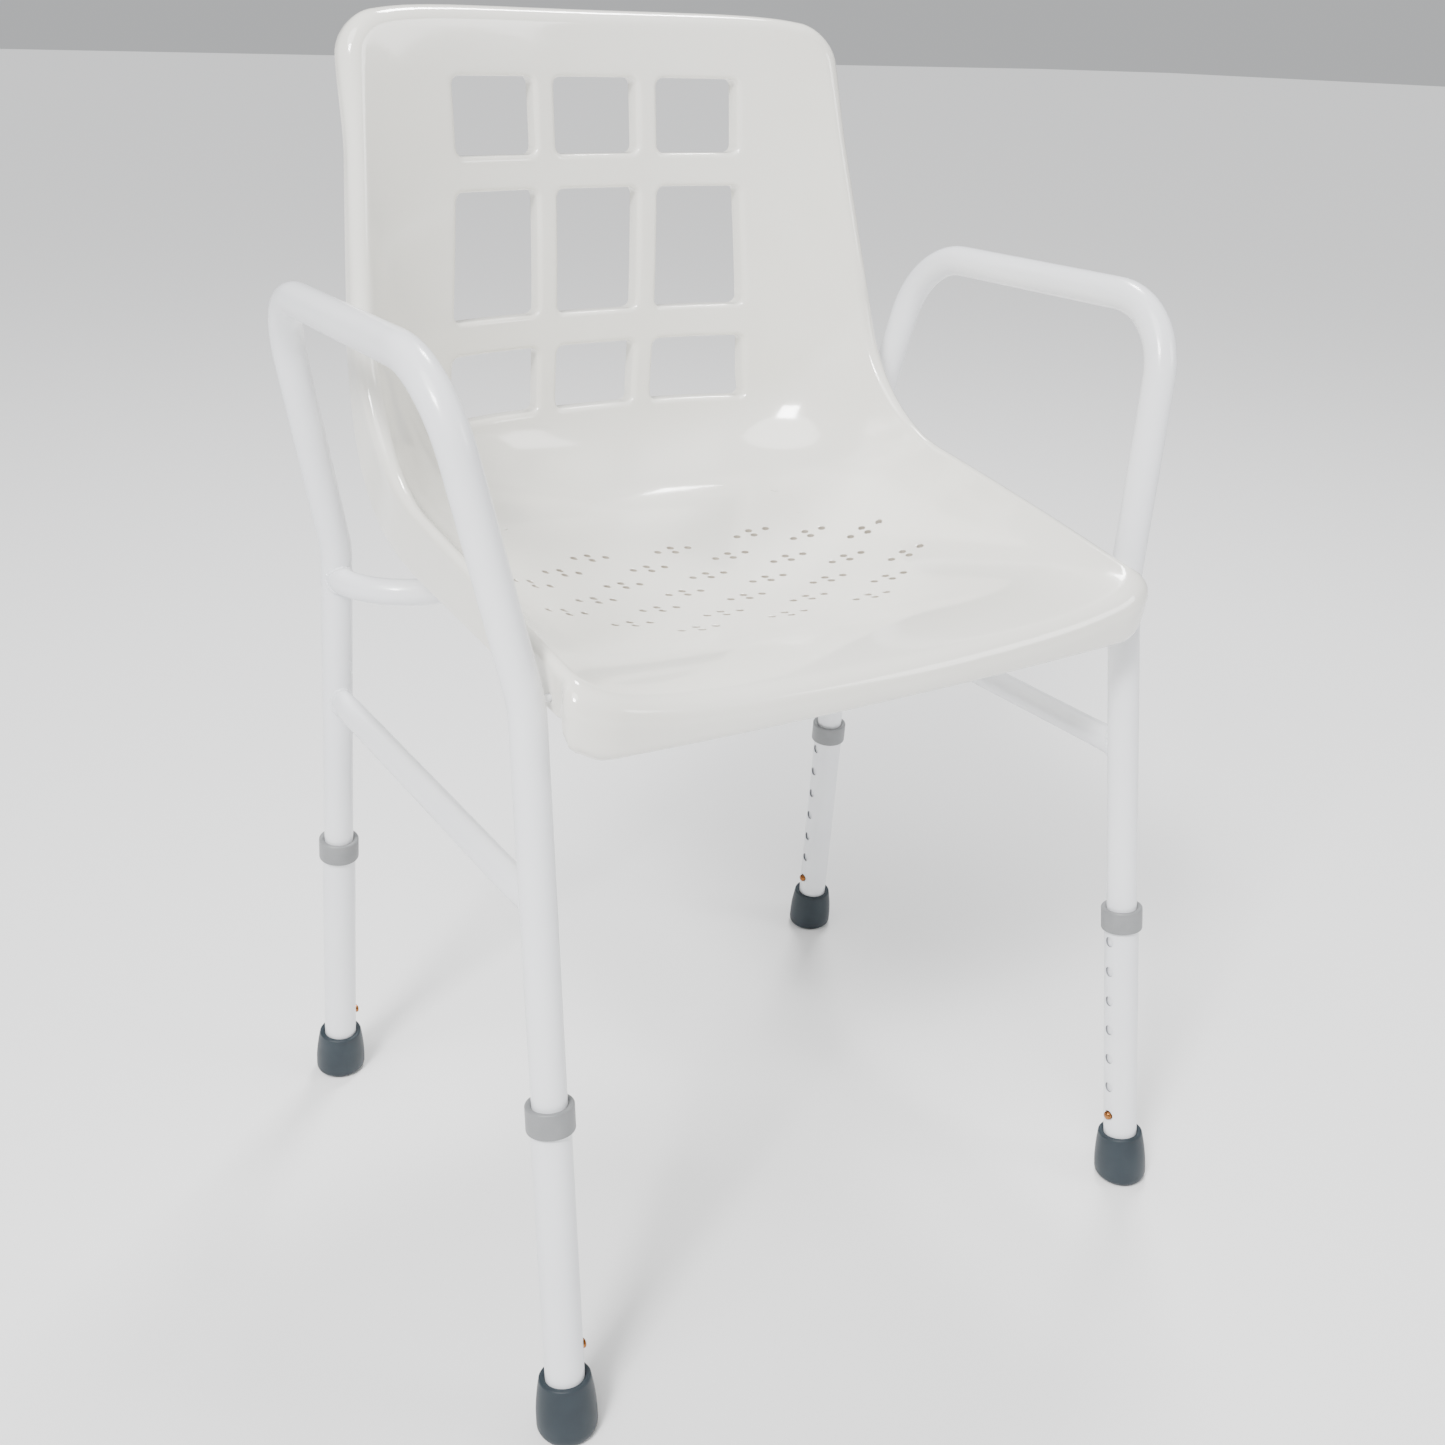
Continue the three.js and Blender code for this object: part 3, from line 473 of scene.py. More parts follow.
def hole_row_tree() -> bpy.types.NodeTree:
    """Build the tree that cuts a row of round holes into one side of a tube."""
    made, given = geometry_tree("Hole row", Holes="Int", First="Vector", Step="Vector",
                                Radius="Float", Depth="Float")
    line = made.node("GeometryNodeMeshLine", {
        "Count": given["Holes"], "Start Location": given["First"], "Offset": given["Step"]},
        mode="OFFSET")
    drill = made.node("GeometryNodeMeshCylinder", {
        "Vertices": 32, "Radius": given["Radius"], "Depth": given["Depth"]})
    copies = made.node("GeometryNodeInstanceOnPoints", {
        "Points": line.outputs["Mesh"], "Instance": drill.outputs["Mesh"],
        "Rotation": (0.0, math.pi / 2, 0.0)})
    return cut_tree(made, given, copies.outputs["Instances"])


def weld_tree() -> bpy.types.NodeTree:
    """Build the tree that lays a rippled bead along a closed line of edges."""
    made, given = geometry_tree("Weld bead", Bead="Float", Ripples="Int", Seed="Int")
    curve = made.node("GeometryNodeMeshToCurve", {"Mesh": given["Geometry"]}).outputs["Curve"]
    even = made.node("GeometryNodeResampleCurve", {"Curve": curve, "Count": given["Ripples"]})
    smooth = made.node("GeometryNodeResampleCurve", {"Curve": curve, "Count": 48})
    section = made.node("GeometryNodeCurvePrimitiveCircle", {
        "Resolution": 10, "Radius": given["Bead"]})
    bead = made.node("GeometryNodeCurveToMesh", {
        "Curve": smooth.outputs["Curve"], "Profile Curve": section.outputs["Curve"]})
    blob = made.node("GeometryNodeMeshUVSphere", {
        "Segments": 12, "Rings": 8, "Radius": given["Bead"]})
    tangent = made.node("GeometryNodeInputTangent")
    turn = made.node("FunctionNodeAlignRotationToVector",
                     {"Vector": tangent.outputs["Tangent"]}, axis="Z")
    least, most = (1.02, 1.02, 0.75), (1.3, 1.3, 1.0)
    size = made.node("FunctionNodeRandomValue", {0: least, 1: most, "Seed": given["Seed"]},
                     data_type="FLOAT_VECTOR")
    ripples = made.node("GeometryNodeInstanceOnPoints", {
        "Points": even.outputs["Curve"], "Instance": blob.outputs["Mesh"],
        "Rotation": turn.outputs["Rotation"], "Scale": size.outputs[0]})
    both = made.node("GeometryNodeJoinGeometry", {
        "Geometry": [bead.outputs["Mesh"], ripples.outputs["Instances"]]})
    return finish_tree(made, given, both.outputs["Geometry"])


def fastener_tree() -> bpy.types.NodeTree:
    """Build the tree that sets a copy of one fastener at each point."""
    made, given = geometry_tree("Fasteners", Fastener="Object")
    return finish_tree(made, given, leaning_copies(made, given["Geometry"], given["Fastener"]))


def point_cloud(name: str, places: Sequence[tuple[Vector, Vector]]) -> bpy.types.Object:
    """Make an object of loose points, each with the direction it leans in.

    Args:
        name: The object's name.
        places: The points and their directions.

    Returns:
        The object, with the directions in its Lean attribute.
    """
    mesh = bpy.data.meshes.new(name)
    mesh.from_pydata([tuple(point) for point, _ in places], [], [])
    lean = mesh.attributes.new("Lean", "FLOAT_VECTOR", "POINT")
    for item, (_, way) in zip(lean.data, places):
        item.vector = way
    return place_object(name, mesh)


# Finishes.


def skin_group() -> bpy.types.NodeTree:
    """Build the shared group for the skin of a moulded, coated, rubber or metal surface.

    Returns:
        A group that puts out a slow Tone mask, a fine Grain height and a Scuff mask.
    """
    made = Tree(bpy.data.node_groups.new("Surface skin", "ShaderNodeTree"))
    made.socket("Vector", "Vector")
    for name, value in (("Tone Scale", 5.0), ("Grain Scale", 600.0), ("Scuff Scale", 60.0),
                        ("Scuff Share", 0.2)):
        made.socket(name, "Float", value=value)
    for name in ("Tone", "Grain", "Scuff"):
        made.socket(name, "Float", way="OUTPUT")
    given = made.node("NodeGroupInput").outputs
    tone = made.node("ShaderNodeTexNoise", {
        "Vector": given["Vector"], "Scale": given["Tone Scale"], "Detail": 3.0})
    grain = made.node("ShaderNodeTexNoise", {
        "Vector": given["Vector"], "Scale": given["Grain Scale"], "Detail": 2.0})
    stretch = made.node("ShaderNodeVectorMath", {0: given["Vector"], 1: (1.0, 0.12, 0.35)},
                        operation="MULTIPLY")
    scuff = made.node("ShaderNodeTexNoise", {
        "Vector": stretch.outputs["Vector"], "Scale": given["Scuff Scale"], "Detail": 6.0,
        "Roughness": 0.7})
    low = made.node("ShaderNodeMath", {0: 0.78, 1: given["Scuff Share"]}, operation="SUBTRACT")
    edge = made.node("ShaderNodeMapRange", {
        "Value": scuff.outputs["Fac"], "From Min": low.outputs["Value"], "From Max": 0.82})
    made.node("NodeGroupOutput", {
        "Tone": tone.outputs["Fac"], "Grain": grain.outputs["Fac"],
        "Scuff": edge.outputs["Result"]})
    return made.tree


@dataclass(frozen=True)
class Finish:
    """A finish: two colours that wander into each other, a grain and a few scuffs.

    Attributes:
        name: The material's name.
        colour: The main colour, linear.
        tone: The colour it wanders to.
        roughness: The roughness where it is clean.
        scuffed: The roughness where it is scuffed.
        metallic: 1 for bare metal.
        coat: How much clear gloss lies on top.
        tone_scale: How many tones there are in a metre.
        grain_scale: How many grains there are in a metre.
        grain_height: The depth of the grain, in metres.
        scuff_share: How much of the surface is scuffed.
        specular: The level of the gloss.
    """

    name: str
    colour: Colour
    tone: Colour
    roughness: float
    scuffed: float
    metallic: float = 0.0
    coat: float = 0.0
    tone_scale: float = 6.0
    grain_scale: float = 500.0
    grain_height: float = 2e-5
    scuff_share: float = 0.16
    specular: float = 0.5

    def material(self, group: bpy.types.NodeTree) -> bpy.types.Material:
        """Build the material.

        Args:
            group: The shared surface skin group.

        Returns:
            The material, with its colour, roughness and bump from its nodes.
        """
        material = bpy.data.materials.new(self.name)
        material.use_nodes = True
        made = Tree(material.node_tree)
        made.tree.nodes.clear()
        place = made.node("ShaderNodeTexCoord").outputs["Object"]
        skin = made.node("ShaderNodeGroup", {
            "Vector": place, "Tone Scale": self.tone_scale, "Grain Scale": self.grain_scale,
            "Scuff Share": self.scuff_share}, node_tree=group).outputs
        spread = made.node("ShaderNodeMapRange", {
            "Value": skin["Tone"], "From Min": 0.35, "From Max": 0.65})
        colour = made.node("ShaderNodeMix", {
            "Factor": spread.outputs["Result"], "A": (*self.colour, 1.0),
            "B": (*self.tone, 1.0)}, data_type="RGBA")
        rough = made.node("ShaderNodeMapRange", {
            "Value": skin["Scuff"], "To Min": self.roughness, "To Max": self.scuffed})
        bump = made.node("ShaderNodeBump", {
            "Height": skin["Grain"], "Distance": self.grain_height})
        shader = made.node("ShaderNodeBsdfPrincipled", {
            "Base Color": colour.outputs["Result"], "Roughness": rough.outputs["Result"],
            "Normal": bump.outputs["Normal"], "Metallic": self.metallic,
            "Coat Weight": self.coat, "Coat Roughness": 0.06,
            "Specular IOR Level": self.specular})
        made.node("ShaderNodeOutputMaterial", {"Surface": shader.outputs["BSDF"]})
        return material


FINISHES = (
    Finish("shell_plastic", (0.85, 0.838, 0.785), (0.80, 0.782, 0.715), 0.13, 0.3,
           coat=0.6, tone_scale=3.5, grain_scale=190.0, grain_height=6e-5),
    # Painted shade: a darker brownish tone for the walls of the drain holes, where shade falls inside them.
    Finish("drain_wall", (0.40, 0.36, 0.30), (0.34, 0.30, 0.24), 0.3, 0.45,
           tone_scale=60.0, grain_scale=900.0, grain_height=2e-5),
    Finish("frame_coating", (0.85, 0.86, 0.88), (0.81, 0.82, 0.85), 0.24, 0.36,
           coat=0.25, tone_scale=9.0, grain_scale=700.0, grain_height=2.5e-5),
    Finish("sleeve_coating", (0.84, 0.85, 0.87), (0.80, 0.81, 0.84), 0.28, 0.4,
           coat=0.15, tone_scale=12.0, grain_scale=800.0, grain_height=2.5e-5),
    # Painted shade: a dark grey for the cut walls of the sleeve's holes, where shade falls in the holes.
    Finish("hole_edge", (0.2, 0.205, 0.22), (0.15, 0.155, 0.17), 0.4, 0.55,
           tone_scale=70.0, grain_scale=1800.0, grain_height=2e-5),
    Finish("collar_plastic", (0.225, 0.23, 0.235), (0.195, 0.2, 0.205), 0.42, 0.55,
           tone_scale=40.0, grain_scale=1500.0, grain_height=3e-5),
    Finish("tip_rubber", (0.023, 0.032, 0.040), (0.018, 0.026, 0.033), 0.48, 0.66, specular=0.32,
           tone_scale=45.0, grain_scale=1400.0, grain_height=4e-5, scuff_share=0.24),
    Finish("button_copper", (0.36, 0.155, 0.05), (0.24, 0.085, 0.025), 0.18, 0.34,
           metallic=1.0, tone_scale=160.0, grain_scale=2600.0, grain_height=1e-5),
    Finish("fastener_steel", (0.56, 0.57, 0.58), (0.48, 0.49, 0.5), 0.3, 0.48,
           metallic=1.0, tone_scale=90.0, grain_scale=2200.0, grain_height=1.5e-5),
)


class Palette:
    """The chair's materials by name: the record's slots, and the painted shade of the cut walls of holes."""

    def __init__(self) -> None:
        """Build every finish once."""
        group = skin_group()
        self.materials = {finish.name: finish.material(group) for finish in FINISHES}

    def dress(self, piece: bpy.types.Object, slot: str) -> None:
        """Give an object one material in place of what it has."""
        piece.data.materials.clear()
        piece.data.materials.append(self.materials[slot])

    def __getitem__(self, slot: str) -> bpy.types.Material:
        """Return a slot's material."""
        return self.materials[slot]


def deliver(piece: bpy.types.Object, body: str, slot: str, *nodes: str) -> None:
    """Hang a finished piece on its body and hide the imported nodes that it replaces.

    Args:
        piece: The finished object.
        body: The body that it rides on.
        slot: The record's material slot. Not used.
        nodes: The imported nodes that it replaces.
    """
    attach(piece, body)
    if nodes:
        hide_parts(*nodes)
    log.info("%s: %d faces on %s", piece.name, len(piece.data.polygons), body)


# The legs' own frames, from the record.


@dataclass(frozen=True)
class Leg:
    """One telescopic leg's place.

    Attributes:
        name: Its corner of the chair, such as front_left.
        side: The sitter's left or right.
        end: The front or the rear.
        foot: Where its axis meets the floor.
        up: The direction up the leg.
        inward: The direction across it that its button points in.
    """

    name: str
    side: Side
    end: End
    foot: Vector
    up: Vector
    inward: Vector

    @property
    def matrix(self) -> Matrix:
        """Return the leg's frame, with Z up the leg and X towards the middle."""
        across = self.up.cross(self.inward)
        turn = Matrix((self.inward, across, self.up)).transposed().to_4x4()
        return Matrix.Translation(self.foot) @ turn

    def along(self, distance: float) -> Vector:
        """Return the point on the axis at a distance from the floor."""
        return self.foot + self.up * distance

    def at_height(self, height: float) -> Vector:
        """Return the point on the axis at a height."""
        return self.foot + self.up * ((height - self.foot.z) / self.up.z)


def find_legs() -> dict[str, Leg]:
    """Read the four legs from the record's mounts and joints."""
    mounts = {mount["name"]: mount for mount in frame["record"]["mounts"]}
    axes = {joint["name"]: Vector(joint["axis"]).normalized() for joint in frame["joints"]}
    legs = {}
    for end in End:
        for side in Side:
            name = f"{end.value}_{side.name.lower()}"
            legs[name] = Leg(
                name, side, end, Vector(mounts[f"foot_{name}"]["pos_m"]),
                -axes[f"{name}_leg_slide"], -axes[f"{name}_button_press"])
    return legs


# The moulding.


@dataclass
class Moulding:
    """The seat and back in one sheet, between a middle profile and the crest of its wings.

    Along the sheet t runs 0 to 1 in equal thirds: the seat, the fold and the back. Across it
    u runs -1 to 1. The heights follow the seat's lowest point.

    Attributes:
        low: The height of the seat's lowest point.
        half: Half the width at the seat.
        wall: The wall's thickness.
    """

    low: float
    half: float = 207.5 * MM
    half_fold: float = 7.2 * MM
    half_taper: float = 19.1 * MM
    wall: float = 3.2 * MM
    low_y: float = 4.5 * MM
    dish: float = 650 * MM
    edge_y: float = -187 * MM
    level_y: float = -110 * MM
    crown: float = 280 * MM
    fold_y: float = 145 * MM
    fold_radius: float = 80 * MM
    lumbar_up: float = 236.7 * MM
    bow: float = 1111 * MM
    top_up: float = 361.2 * MM
    wing_front: float = -183 * MM
    wing_y: float = -17 * MM
    wing_up: float = 59 * MM
    wing_rise: float = 0.155
    wing_bend: float = 120 * MM
    wing_back_y: float = 137 * MM
    wing_back_up: float = 148.7 * MM
    wing_lean: float = 0.2
    wing_top_up: float = 353.7 * MM
    corner_front: float = 23 * MM
    corner_top: float = 18 * MM
    rim_side: float = 5 * MM
    rim_front: float = 15 * MM
    rim_back: float = 8 * MM
    rim_top: float = 11.7 * MM
    drop_front: float = 22 * MM
    drop_rear: float = 37 * MM
    drop_fold: float = 7 * MM
    drop_back: float = 11 * MM
    drop_top: float = 4 * MM
    lip_down: float = 12.8 * MM
    curl: float = 7 * MM
    corner_lift: float = 0.16
    hollow: float = 0.42
    power: float = 7.0

    def pan_height(self, y: float) -> float:
        """Return the middle profile's height over the seat."""
        level = self.level_y
        if y > level:
            return self.low + (y - self.low_y) ** 2 / (2 * self.dish)
        ahead = y - level
        slope = (level - self.low_y) / self.dish
        return (self.low + (level - self.low_y) ** 2 / (2 * self.dish) + slope * ahead
                - ahead ** 2 / (2 * self.crown))

    def fold_start(self) -> float:
        """Return the slope angle where the fold starts."""
        return math.atan((self.fold_y - self.low_y) / self.dish)

    def fold_point(self, angle: float) -> tuple[float, float]:
        """Return Y and Z on the fold's arc at a slope angle."""
        start = self.fold_start()
        radius = self.fold_radius
        centre_y = self.fold_y - radius * math.sin(start)
        centre_z = self.pan_height(self.fold_y) + radius * math.cos(start)
        return centre_y + radius * math.sin(angle), centre_z - radius * math.cos(angle)

    def fold_end(self) -> float:
        """Return the slope angle where the fold ends."""
        rise = self.low + self.lumbar_up - self.fold_point(math.pi / 2)[1]
        return math.pi / 2 + math.atan(rise / (self.bow + self.fold_radius))

    def middle(self, t: float) -> tuple[float, float]:
        """Return Y and Z of the middle profile."""
        part = 3 * t
        if part <= 1:
            y = lerp(self.edge_y, self.fold_y, part)
            return y, self.pan_height(y)
        if part <= 2:
            return self.fold_point(lerp(self.fold_start(), self.fold_end(), part - 1))
        end_y, end_z = self.fold_point(self.fold_end())
        lumbar = self.low + self.lumbar_up
        z = lerp(end_z, self.low + self.top_up, part - 2)
        return end_y + ((z - lumbar) ** 2 - (end_z - lumbar) ** 2) / (2 * self.bow), z

    def crest(self, t: float) -> tuple[float, float, float]:
        """Return Y, Z and the slope angle of a wing's crest."""
        part = 3 * t
        seat = math.atan(self.wing_rise)
        back = math.pi / 2 - math.atan(self.wing_lean)
        rise = self.wing_rise
        lean = self.wing_lean
        side_z = self.low + self.wing_up
        back_z = self.low + self.wing_back_up
        corner_z = ((side_z + rise * (self.wing_back_y - self.wing_y - lean * back_z))
                    / (1 - rise * lean))
        corner_y = self.wing_back_y + lean * (corner_z - back_z)
        reach = self.wing_bend * math.tan((back - seat) / 2)
        start_y = corner_y - reach * math.cos(seat)
        start_z = corner_z - reach * math.sin(seat)
        if part <= 1:
            y = lerp(self.wing_front, start_y, part)
            return y, start_z + rise * (y - start_y), seat
        if part <= 2:
            angle = lerp(seat, back, part - 1)
            return (start_y + self.wing_bend * (math.sin(angle) - math.sin(seat)),
                    start_z + self.wing_bend * (math.cos(seat) - math.cos(angle)), angle)
        end_z = corner_z + reach * math.sin(back)
        z = lerp(end_z, self.low + self.wing_top_up, part - 2)
        return corner_y + lean * (z - corner_z), z, back

    def half_width(self, t: float) -> float:
        """Return half the sheet's width."""
        back = clamp(3 * t - 2)
        return self.half - self.half_fold * smoothstep(3 * t, 1, 2) - self.half_taper * back

    def point(self, u: float, t: float) -> Vector:
        """Return a point of the sitting surface."""
        middle_y, middle_z = self.middle(t)
        crest_y, crest_z, _ = self.crest(t)
        folded = smoothstep(3 * t, 1, 2)
        back = clamp(3 * t - 2)
        hollow = self.hollow * (1 - folded)
        lift = hollow * u * u + (1 - hollow) * abs(u) ** self.power
        forward = abs(u) ** (2 + folded * (1 - back))
        return Vector((u * self.half_width(t), lerp(middle_y, crest_y, forward),
                       lerp(middle_z, crest_z, lift)))

    def normal(self, u: float, t: float) -> Vector:
        """Return the direction out of the sitting surface."""
        step = 1e-3
        across = self.point(u + step, t) - self.point(u - step, t)
        before, after = max(t - step, 0), min(t + step, 1)
        return across.cross(self.point(u, after) - self.point(u, before)).normalized()

    def rounded(self, a: float, b: float) -> tuple[float, float]:
        """Turn a place in the square into a place on the sheet with round corners."""
        seat = self.fold_y - self.edge_y
        back = self.low + self.top_up - self.fold_point(self.fold_end())[1]
        corners = ((self.corner_front, self.corner_front / seat / 3, False),
                   (self.corner_top, self.corner_top / back / 3, True))
        for size, reach, flip in corners:
            span = size / self.half
            along = 1 - b if flip else b
            p = (abs(a) - (1 - span)) / span
            q = (reach - along) / reach
            if p > 0 and q > 0:
                ring = max(p, q)
                pull = 1 - ring ** 2 * (1 - ring / math.hypot(p, q))
                along = reach - q * pull * reach
                u = math.copysign(1 - span + p * pull * span, a)
                return u, (1 - along if flip else along)
        return a, b

    def rim(self, place: tuple[float, float], before: tuple[float, float],
            after: tuple[float, float]) -> list[Vector]:
        """Return the rim's points at one place of the outline, from the roll to its end.

        Args:
            place: The place on the outline, as u and t.
            before: The outline's place before it.
            after: The outline's place after it.

        Returns:
            The points of the roll, then of the straight drop.
        """
        u, t = place
        part = 3 * t
        origin = self.point(u, t)
        normal = self.normal(u, t)
        outward = (self.point(*after) - self.point(*before)).cross(normal).normalized()
        slope = self.crest(t)[2]
        drop = Vector((0, math.sin(slope), -math.cos(slope)))
        ahead = -outward.y * (1 - smoothstep(part, 0.3, 0.6))
        front = smoothstep(ahead, 0.25, 0.75)
        back = smoothstep(part, 1, 2)
        top = smoothstep(part, 2.6, 3)
        radius = (self.rim_side + (self.rim_front - self.rim_side) * front
                  + (self.rim_back - self.rim_side) * back + (self.rim_top - self.rim_back) * top)
        turn = outward.angle(drop)
        inward = (drop - outward * drop.dot(outward)).normalized()
        points = []
        roll_steps = 10
        for i in range(1, roll_steps + 1):
            angle = turn * i / roll_steps
            points.append(origin + outward * (radius * math.sin(angle))
                          + inward * (radius * (1 - math.cos(angle))))
        last = points[-1]
        side = lerp(self.drop_front, self.drop_rear, min(part, 1))
        behind = lerp(self.drop_back, self.drop_top, max(part - 2, 0))
        plain = (lerp(side, behind, smoothstep(part, 1.25, 2.1))
                 + self.drop_fold * 4 * back * (1 - back))
        to_lip = (last.z - (self.low - self.lip_down)) / -drop.z if drop.z < 0 else plain
        length = lerp(plain, to_lip, smoothstep(ahead, 0.8, 0.99))
        length *= 1 - self.corner_lift * 4 * front * (1 - front)
        curl = self.curl * smoothstep(ahead, 0.1, 0.7)
        drop_steps = 9
        for i in range(1, drop_steps + 1):
            down = 1 - (1 - i / drop_steps) ** 1.5
            left = length * (1 - down)
            tuck = 0.0
            if left < curl:
                tuck = curl - math.sqrt(curl ** 2 - (curl - left) ** 2)
            points.append(last + drop * (length * down) - outward * tuck)
        return points

    def solid(self, columns: int = 96) -> Sheet:
        """Build the closed moulding before its openings.

        Args:
            columns: How many steps there are across it.

        Returns:
            The closed sheet.
        """
        crowding = 0.3
        across = []
        for i in range(columns + 1):
            s = 2 * i / columns - 1
            across.append(s * (1 + crowding - crowding * s * s))
        # The steps along the seat, the fold and the back, and how they crowd at an edge.
        thirds = ((66, 0.35), (38, 0.0), (54, -0.35))
        rows = []
        for third, (count, ease) in enumerate(thirds):
            for i in range(count + (third == 2)):
                s = i / count
                rows.append((third + s - ease * s * (1 - s)) / 3)
        sheet = Sheet()
        width = columns + 1
        places = [self.rounded(a, b) for b in rows for a in across]
        sheet.ring(self.point(u, t) for u, t in places)
        height = len(rows)
        for j in range(height - 1):
            for i in range(width - 1):
                at = j * width + i
                sheet.faces.append((at, at + 1, at + width + 1, at + width))
        loop = (list(range(width - 1))
                + [j * width + width - 1 for j in range(height - 1)]
                + [(height - 1) * width + i for i in range(width - 1, 0, -1)]
                + [j * width for j in range(height - 1, 0, -1)])
        count = len(loop)
        rims = [self.rim(places[at], places[loop[i - 1]], places[loop[(i + 1) % count]])
                for i, at in enumerate(loop)]
        rings = [loop] + [sheet.ring(rim[k] for rim in rims) for k in range(len(rims[0]))]
        for first, second in zip(rings, rings[1:]):
            sheet.band(second, first)
        return self.thickened(sheet, rings[-1], rings[-2])

    def thickened(self, sheet: Sheet, edge: list[int], above: list[int]) -> Sheet:
        """Close a sheet with a copy inside it and a rounded strip along its edge.

        Args:
            sheet: The sitting side and its rim.
            edge: The ring of points at the rim's end.
            above: The ring before it.

        Returns:
            The closed sheet.
        """
        mesh = bpy.data.meshes.new("normals")
        mesh.from_pydata([tuple(point) for point in sheet.points], [], sheet.faces)
        normals = [vertex.normal.copy() for vertex in mesh.vertices]
        bpy.data.meshes.remove(mesh)
        total = len(sheet.points)
        outer_faces = list(sheet.faces)
        sheet.ring(point - normal * self.wall for point, normal in zip(list(sheet.points), normals))
        sheet.faces.extend(tuple(total + i for i in reversed(face)) for face in outer_faces)
        steps = 4
        half = self.wall / 2
        rings = [edge]
        for k in range(1, steps):
            angle = math.pi * k / steps
            points = []
            for at, over in zip(edge, above):
                middle = sheet.points[at] - normals[at] * half
                down = (sheet.points[at] - sheet.points[over]).normalized()
                points.append(middle + normals[at] * (half * math.cos(angle))
                              + down * (self.wall / 3 * math.sin(angle)))
            rings.append(sheet.ring(points))
        rings.append([total + at for at in edge])
        sheet.loft(rings, capped=False)
        return sheet

    def back_y(self, x: float, z: float) -> float:
        """Return Y of the sitting surface behind a place seen from the front."""
        t = halve(lambda value: self.point(x / self.half_width(value), value).z < z, 0.4, 1.0)
        return self.point(x / self.half_width(t), t).y

    def seat_place(self, x: float, y: float) -> tuple[Vector, Vector]:
        """Return the point and the normal of the seat at a place seen from above."""
        u = x / self.half
        t = halve(lambda value: self.point(u, value).y < y, 0.0, 0.6)
        return self.point(u, t), self.normal(u, t)


@dataclass
class BackWindows:
    """The nine openings of the backrest, with round front edges and a flange behind each."""

    shape: Moulding
    inner: float = 33.5 * MM
    rib: float = 16.5 * MM
    outer: float = 115 * MM
    spread: float = 0.07
    corner: float = 6 * MM
    flange: float = 12 * MM
    flange_wall: float = 3 * MM
    flange_round: float = 0.8 * MM
    flange_knee: float = 0.25 * MM
    fillet: float = 4 * MM
    draft: float = 0.5 * MM
    cut_ahead: float = 8 * MM
    cut_behind: float = 4 * MM
    skin: float = 0.01 * MM
    rows: tuple[tuple[float, float], ...] = (
        (87.7 * MM, 136.7 * MM), (161.7 * MM, 251.2 * MM), (275.2 * MM, 327.2 * MM))

    def quads(self) -> list[list[Vector]]:
        """Return each opening's four corners, as X and Z."""
        low = self.shape.low
        top_row = low + self.rows[2][0]
        side = self.inner + self.rib

        def outer(z: float) -> float:
            return self.outer + self.spread * max(top_row - z, 0)

        columns = ((lambda z: -self.inner, lambda z: self.inner), (lambda z: side, outer),
                   (lambda z: -outer(z), lambda z: -side))
        quads = []
        for bottom, top in self.rows:
            for left, right in columns:
                heights = (low + bottom, low + bottom, low + top, low + top)
                quads.append([Vector(((left if i in (0, 3) else right)(z), z, 0))
                              for i, z in enumerate(heights)])
        return quads

    def outline(self, quad: Sequence[Vector], grow: float) -> list[Vector]:
        """Return an opening's outline, grown by a margin, as X and Z.

        Args:
            quad: The opening's corners.
            grow: The margin.

        Returns:
            Points of the outline, with as many for every margin.
        """
        middle = sum(quad, Vector()) / 4
        grown = [corner + Vector((math.copysign(grow, corner.x - middle.x),
                                  math.copysign(grow, corner.y - middle.y), 0))
                 for corner in quad]
        arcs = [bend(grown[i - 1], corner, grown[(i + 1) % 4], self.corner + grow, 8)
                for i, corner in enumerate(grown)]
        points = []
        for i, arc in enumerate(arcs):
            points.extend(arc)
            after = arcs[(i + 1) % 4][0]
            points.extend(arc[-1].lerp(after, k / 8) for k in range(1, 8))
        return points

    def ring(self, quad: Sequence[Vector], grow: float, depth: float) -> list[Vector]:
        """Return an outline laid on the sitting surface and moved back by a depth."""
        return [Vector((p.x, self.shape.back_y(p.x, p.y) + depth, p.y))
                for p in self.outline(quad, grow)]

    def plugs(self, levels: Sequence[tuple[float, float]]) -> Sheet:
        """Build a closed plug for every opening from outlines at margins and depths."""
        sheet = Sheet()
        for quad in self.quads():
            plug = Sheet()
            plug.loft([plug.ring(self.ring(quad, grow, depth)) for grow, depth in levels])
            sheet.add(plug)
        return sheet

    def surrounds(self) -> Sheet:
        """Build the blocks behind the back that the flanges are cut from."""
        wall, grow = self.shape.wall, self.flange_wall
        behind, knee, rounded = wall + self.flange, self.flange_knee, self.flange_round
        return self.plugs(((grow, wall / 2), (grow, behind - rounded),
                           (grow - knee, behind - knee), (grow - rounded, behind)))

    def cutters(self) -> Sheet:
        """Build the plugs that cut the openings and round their front edges."""
        radius = self.fillet
        levels = [(radius, -self.cut_ahead), (radius, -self.skin)]
        for angle in quarter(6, 1):
            levels.append((radius * (1 - math.sin(angle)), radius * (1 - math.cos(angle))))
        levels.append((-self.draft, self.shape.wall + self.flange + self.cut_behind))
        return self.plugs(levels)


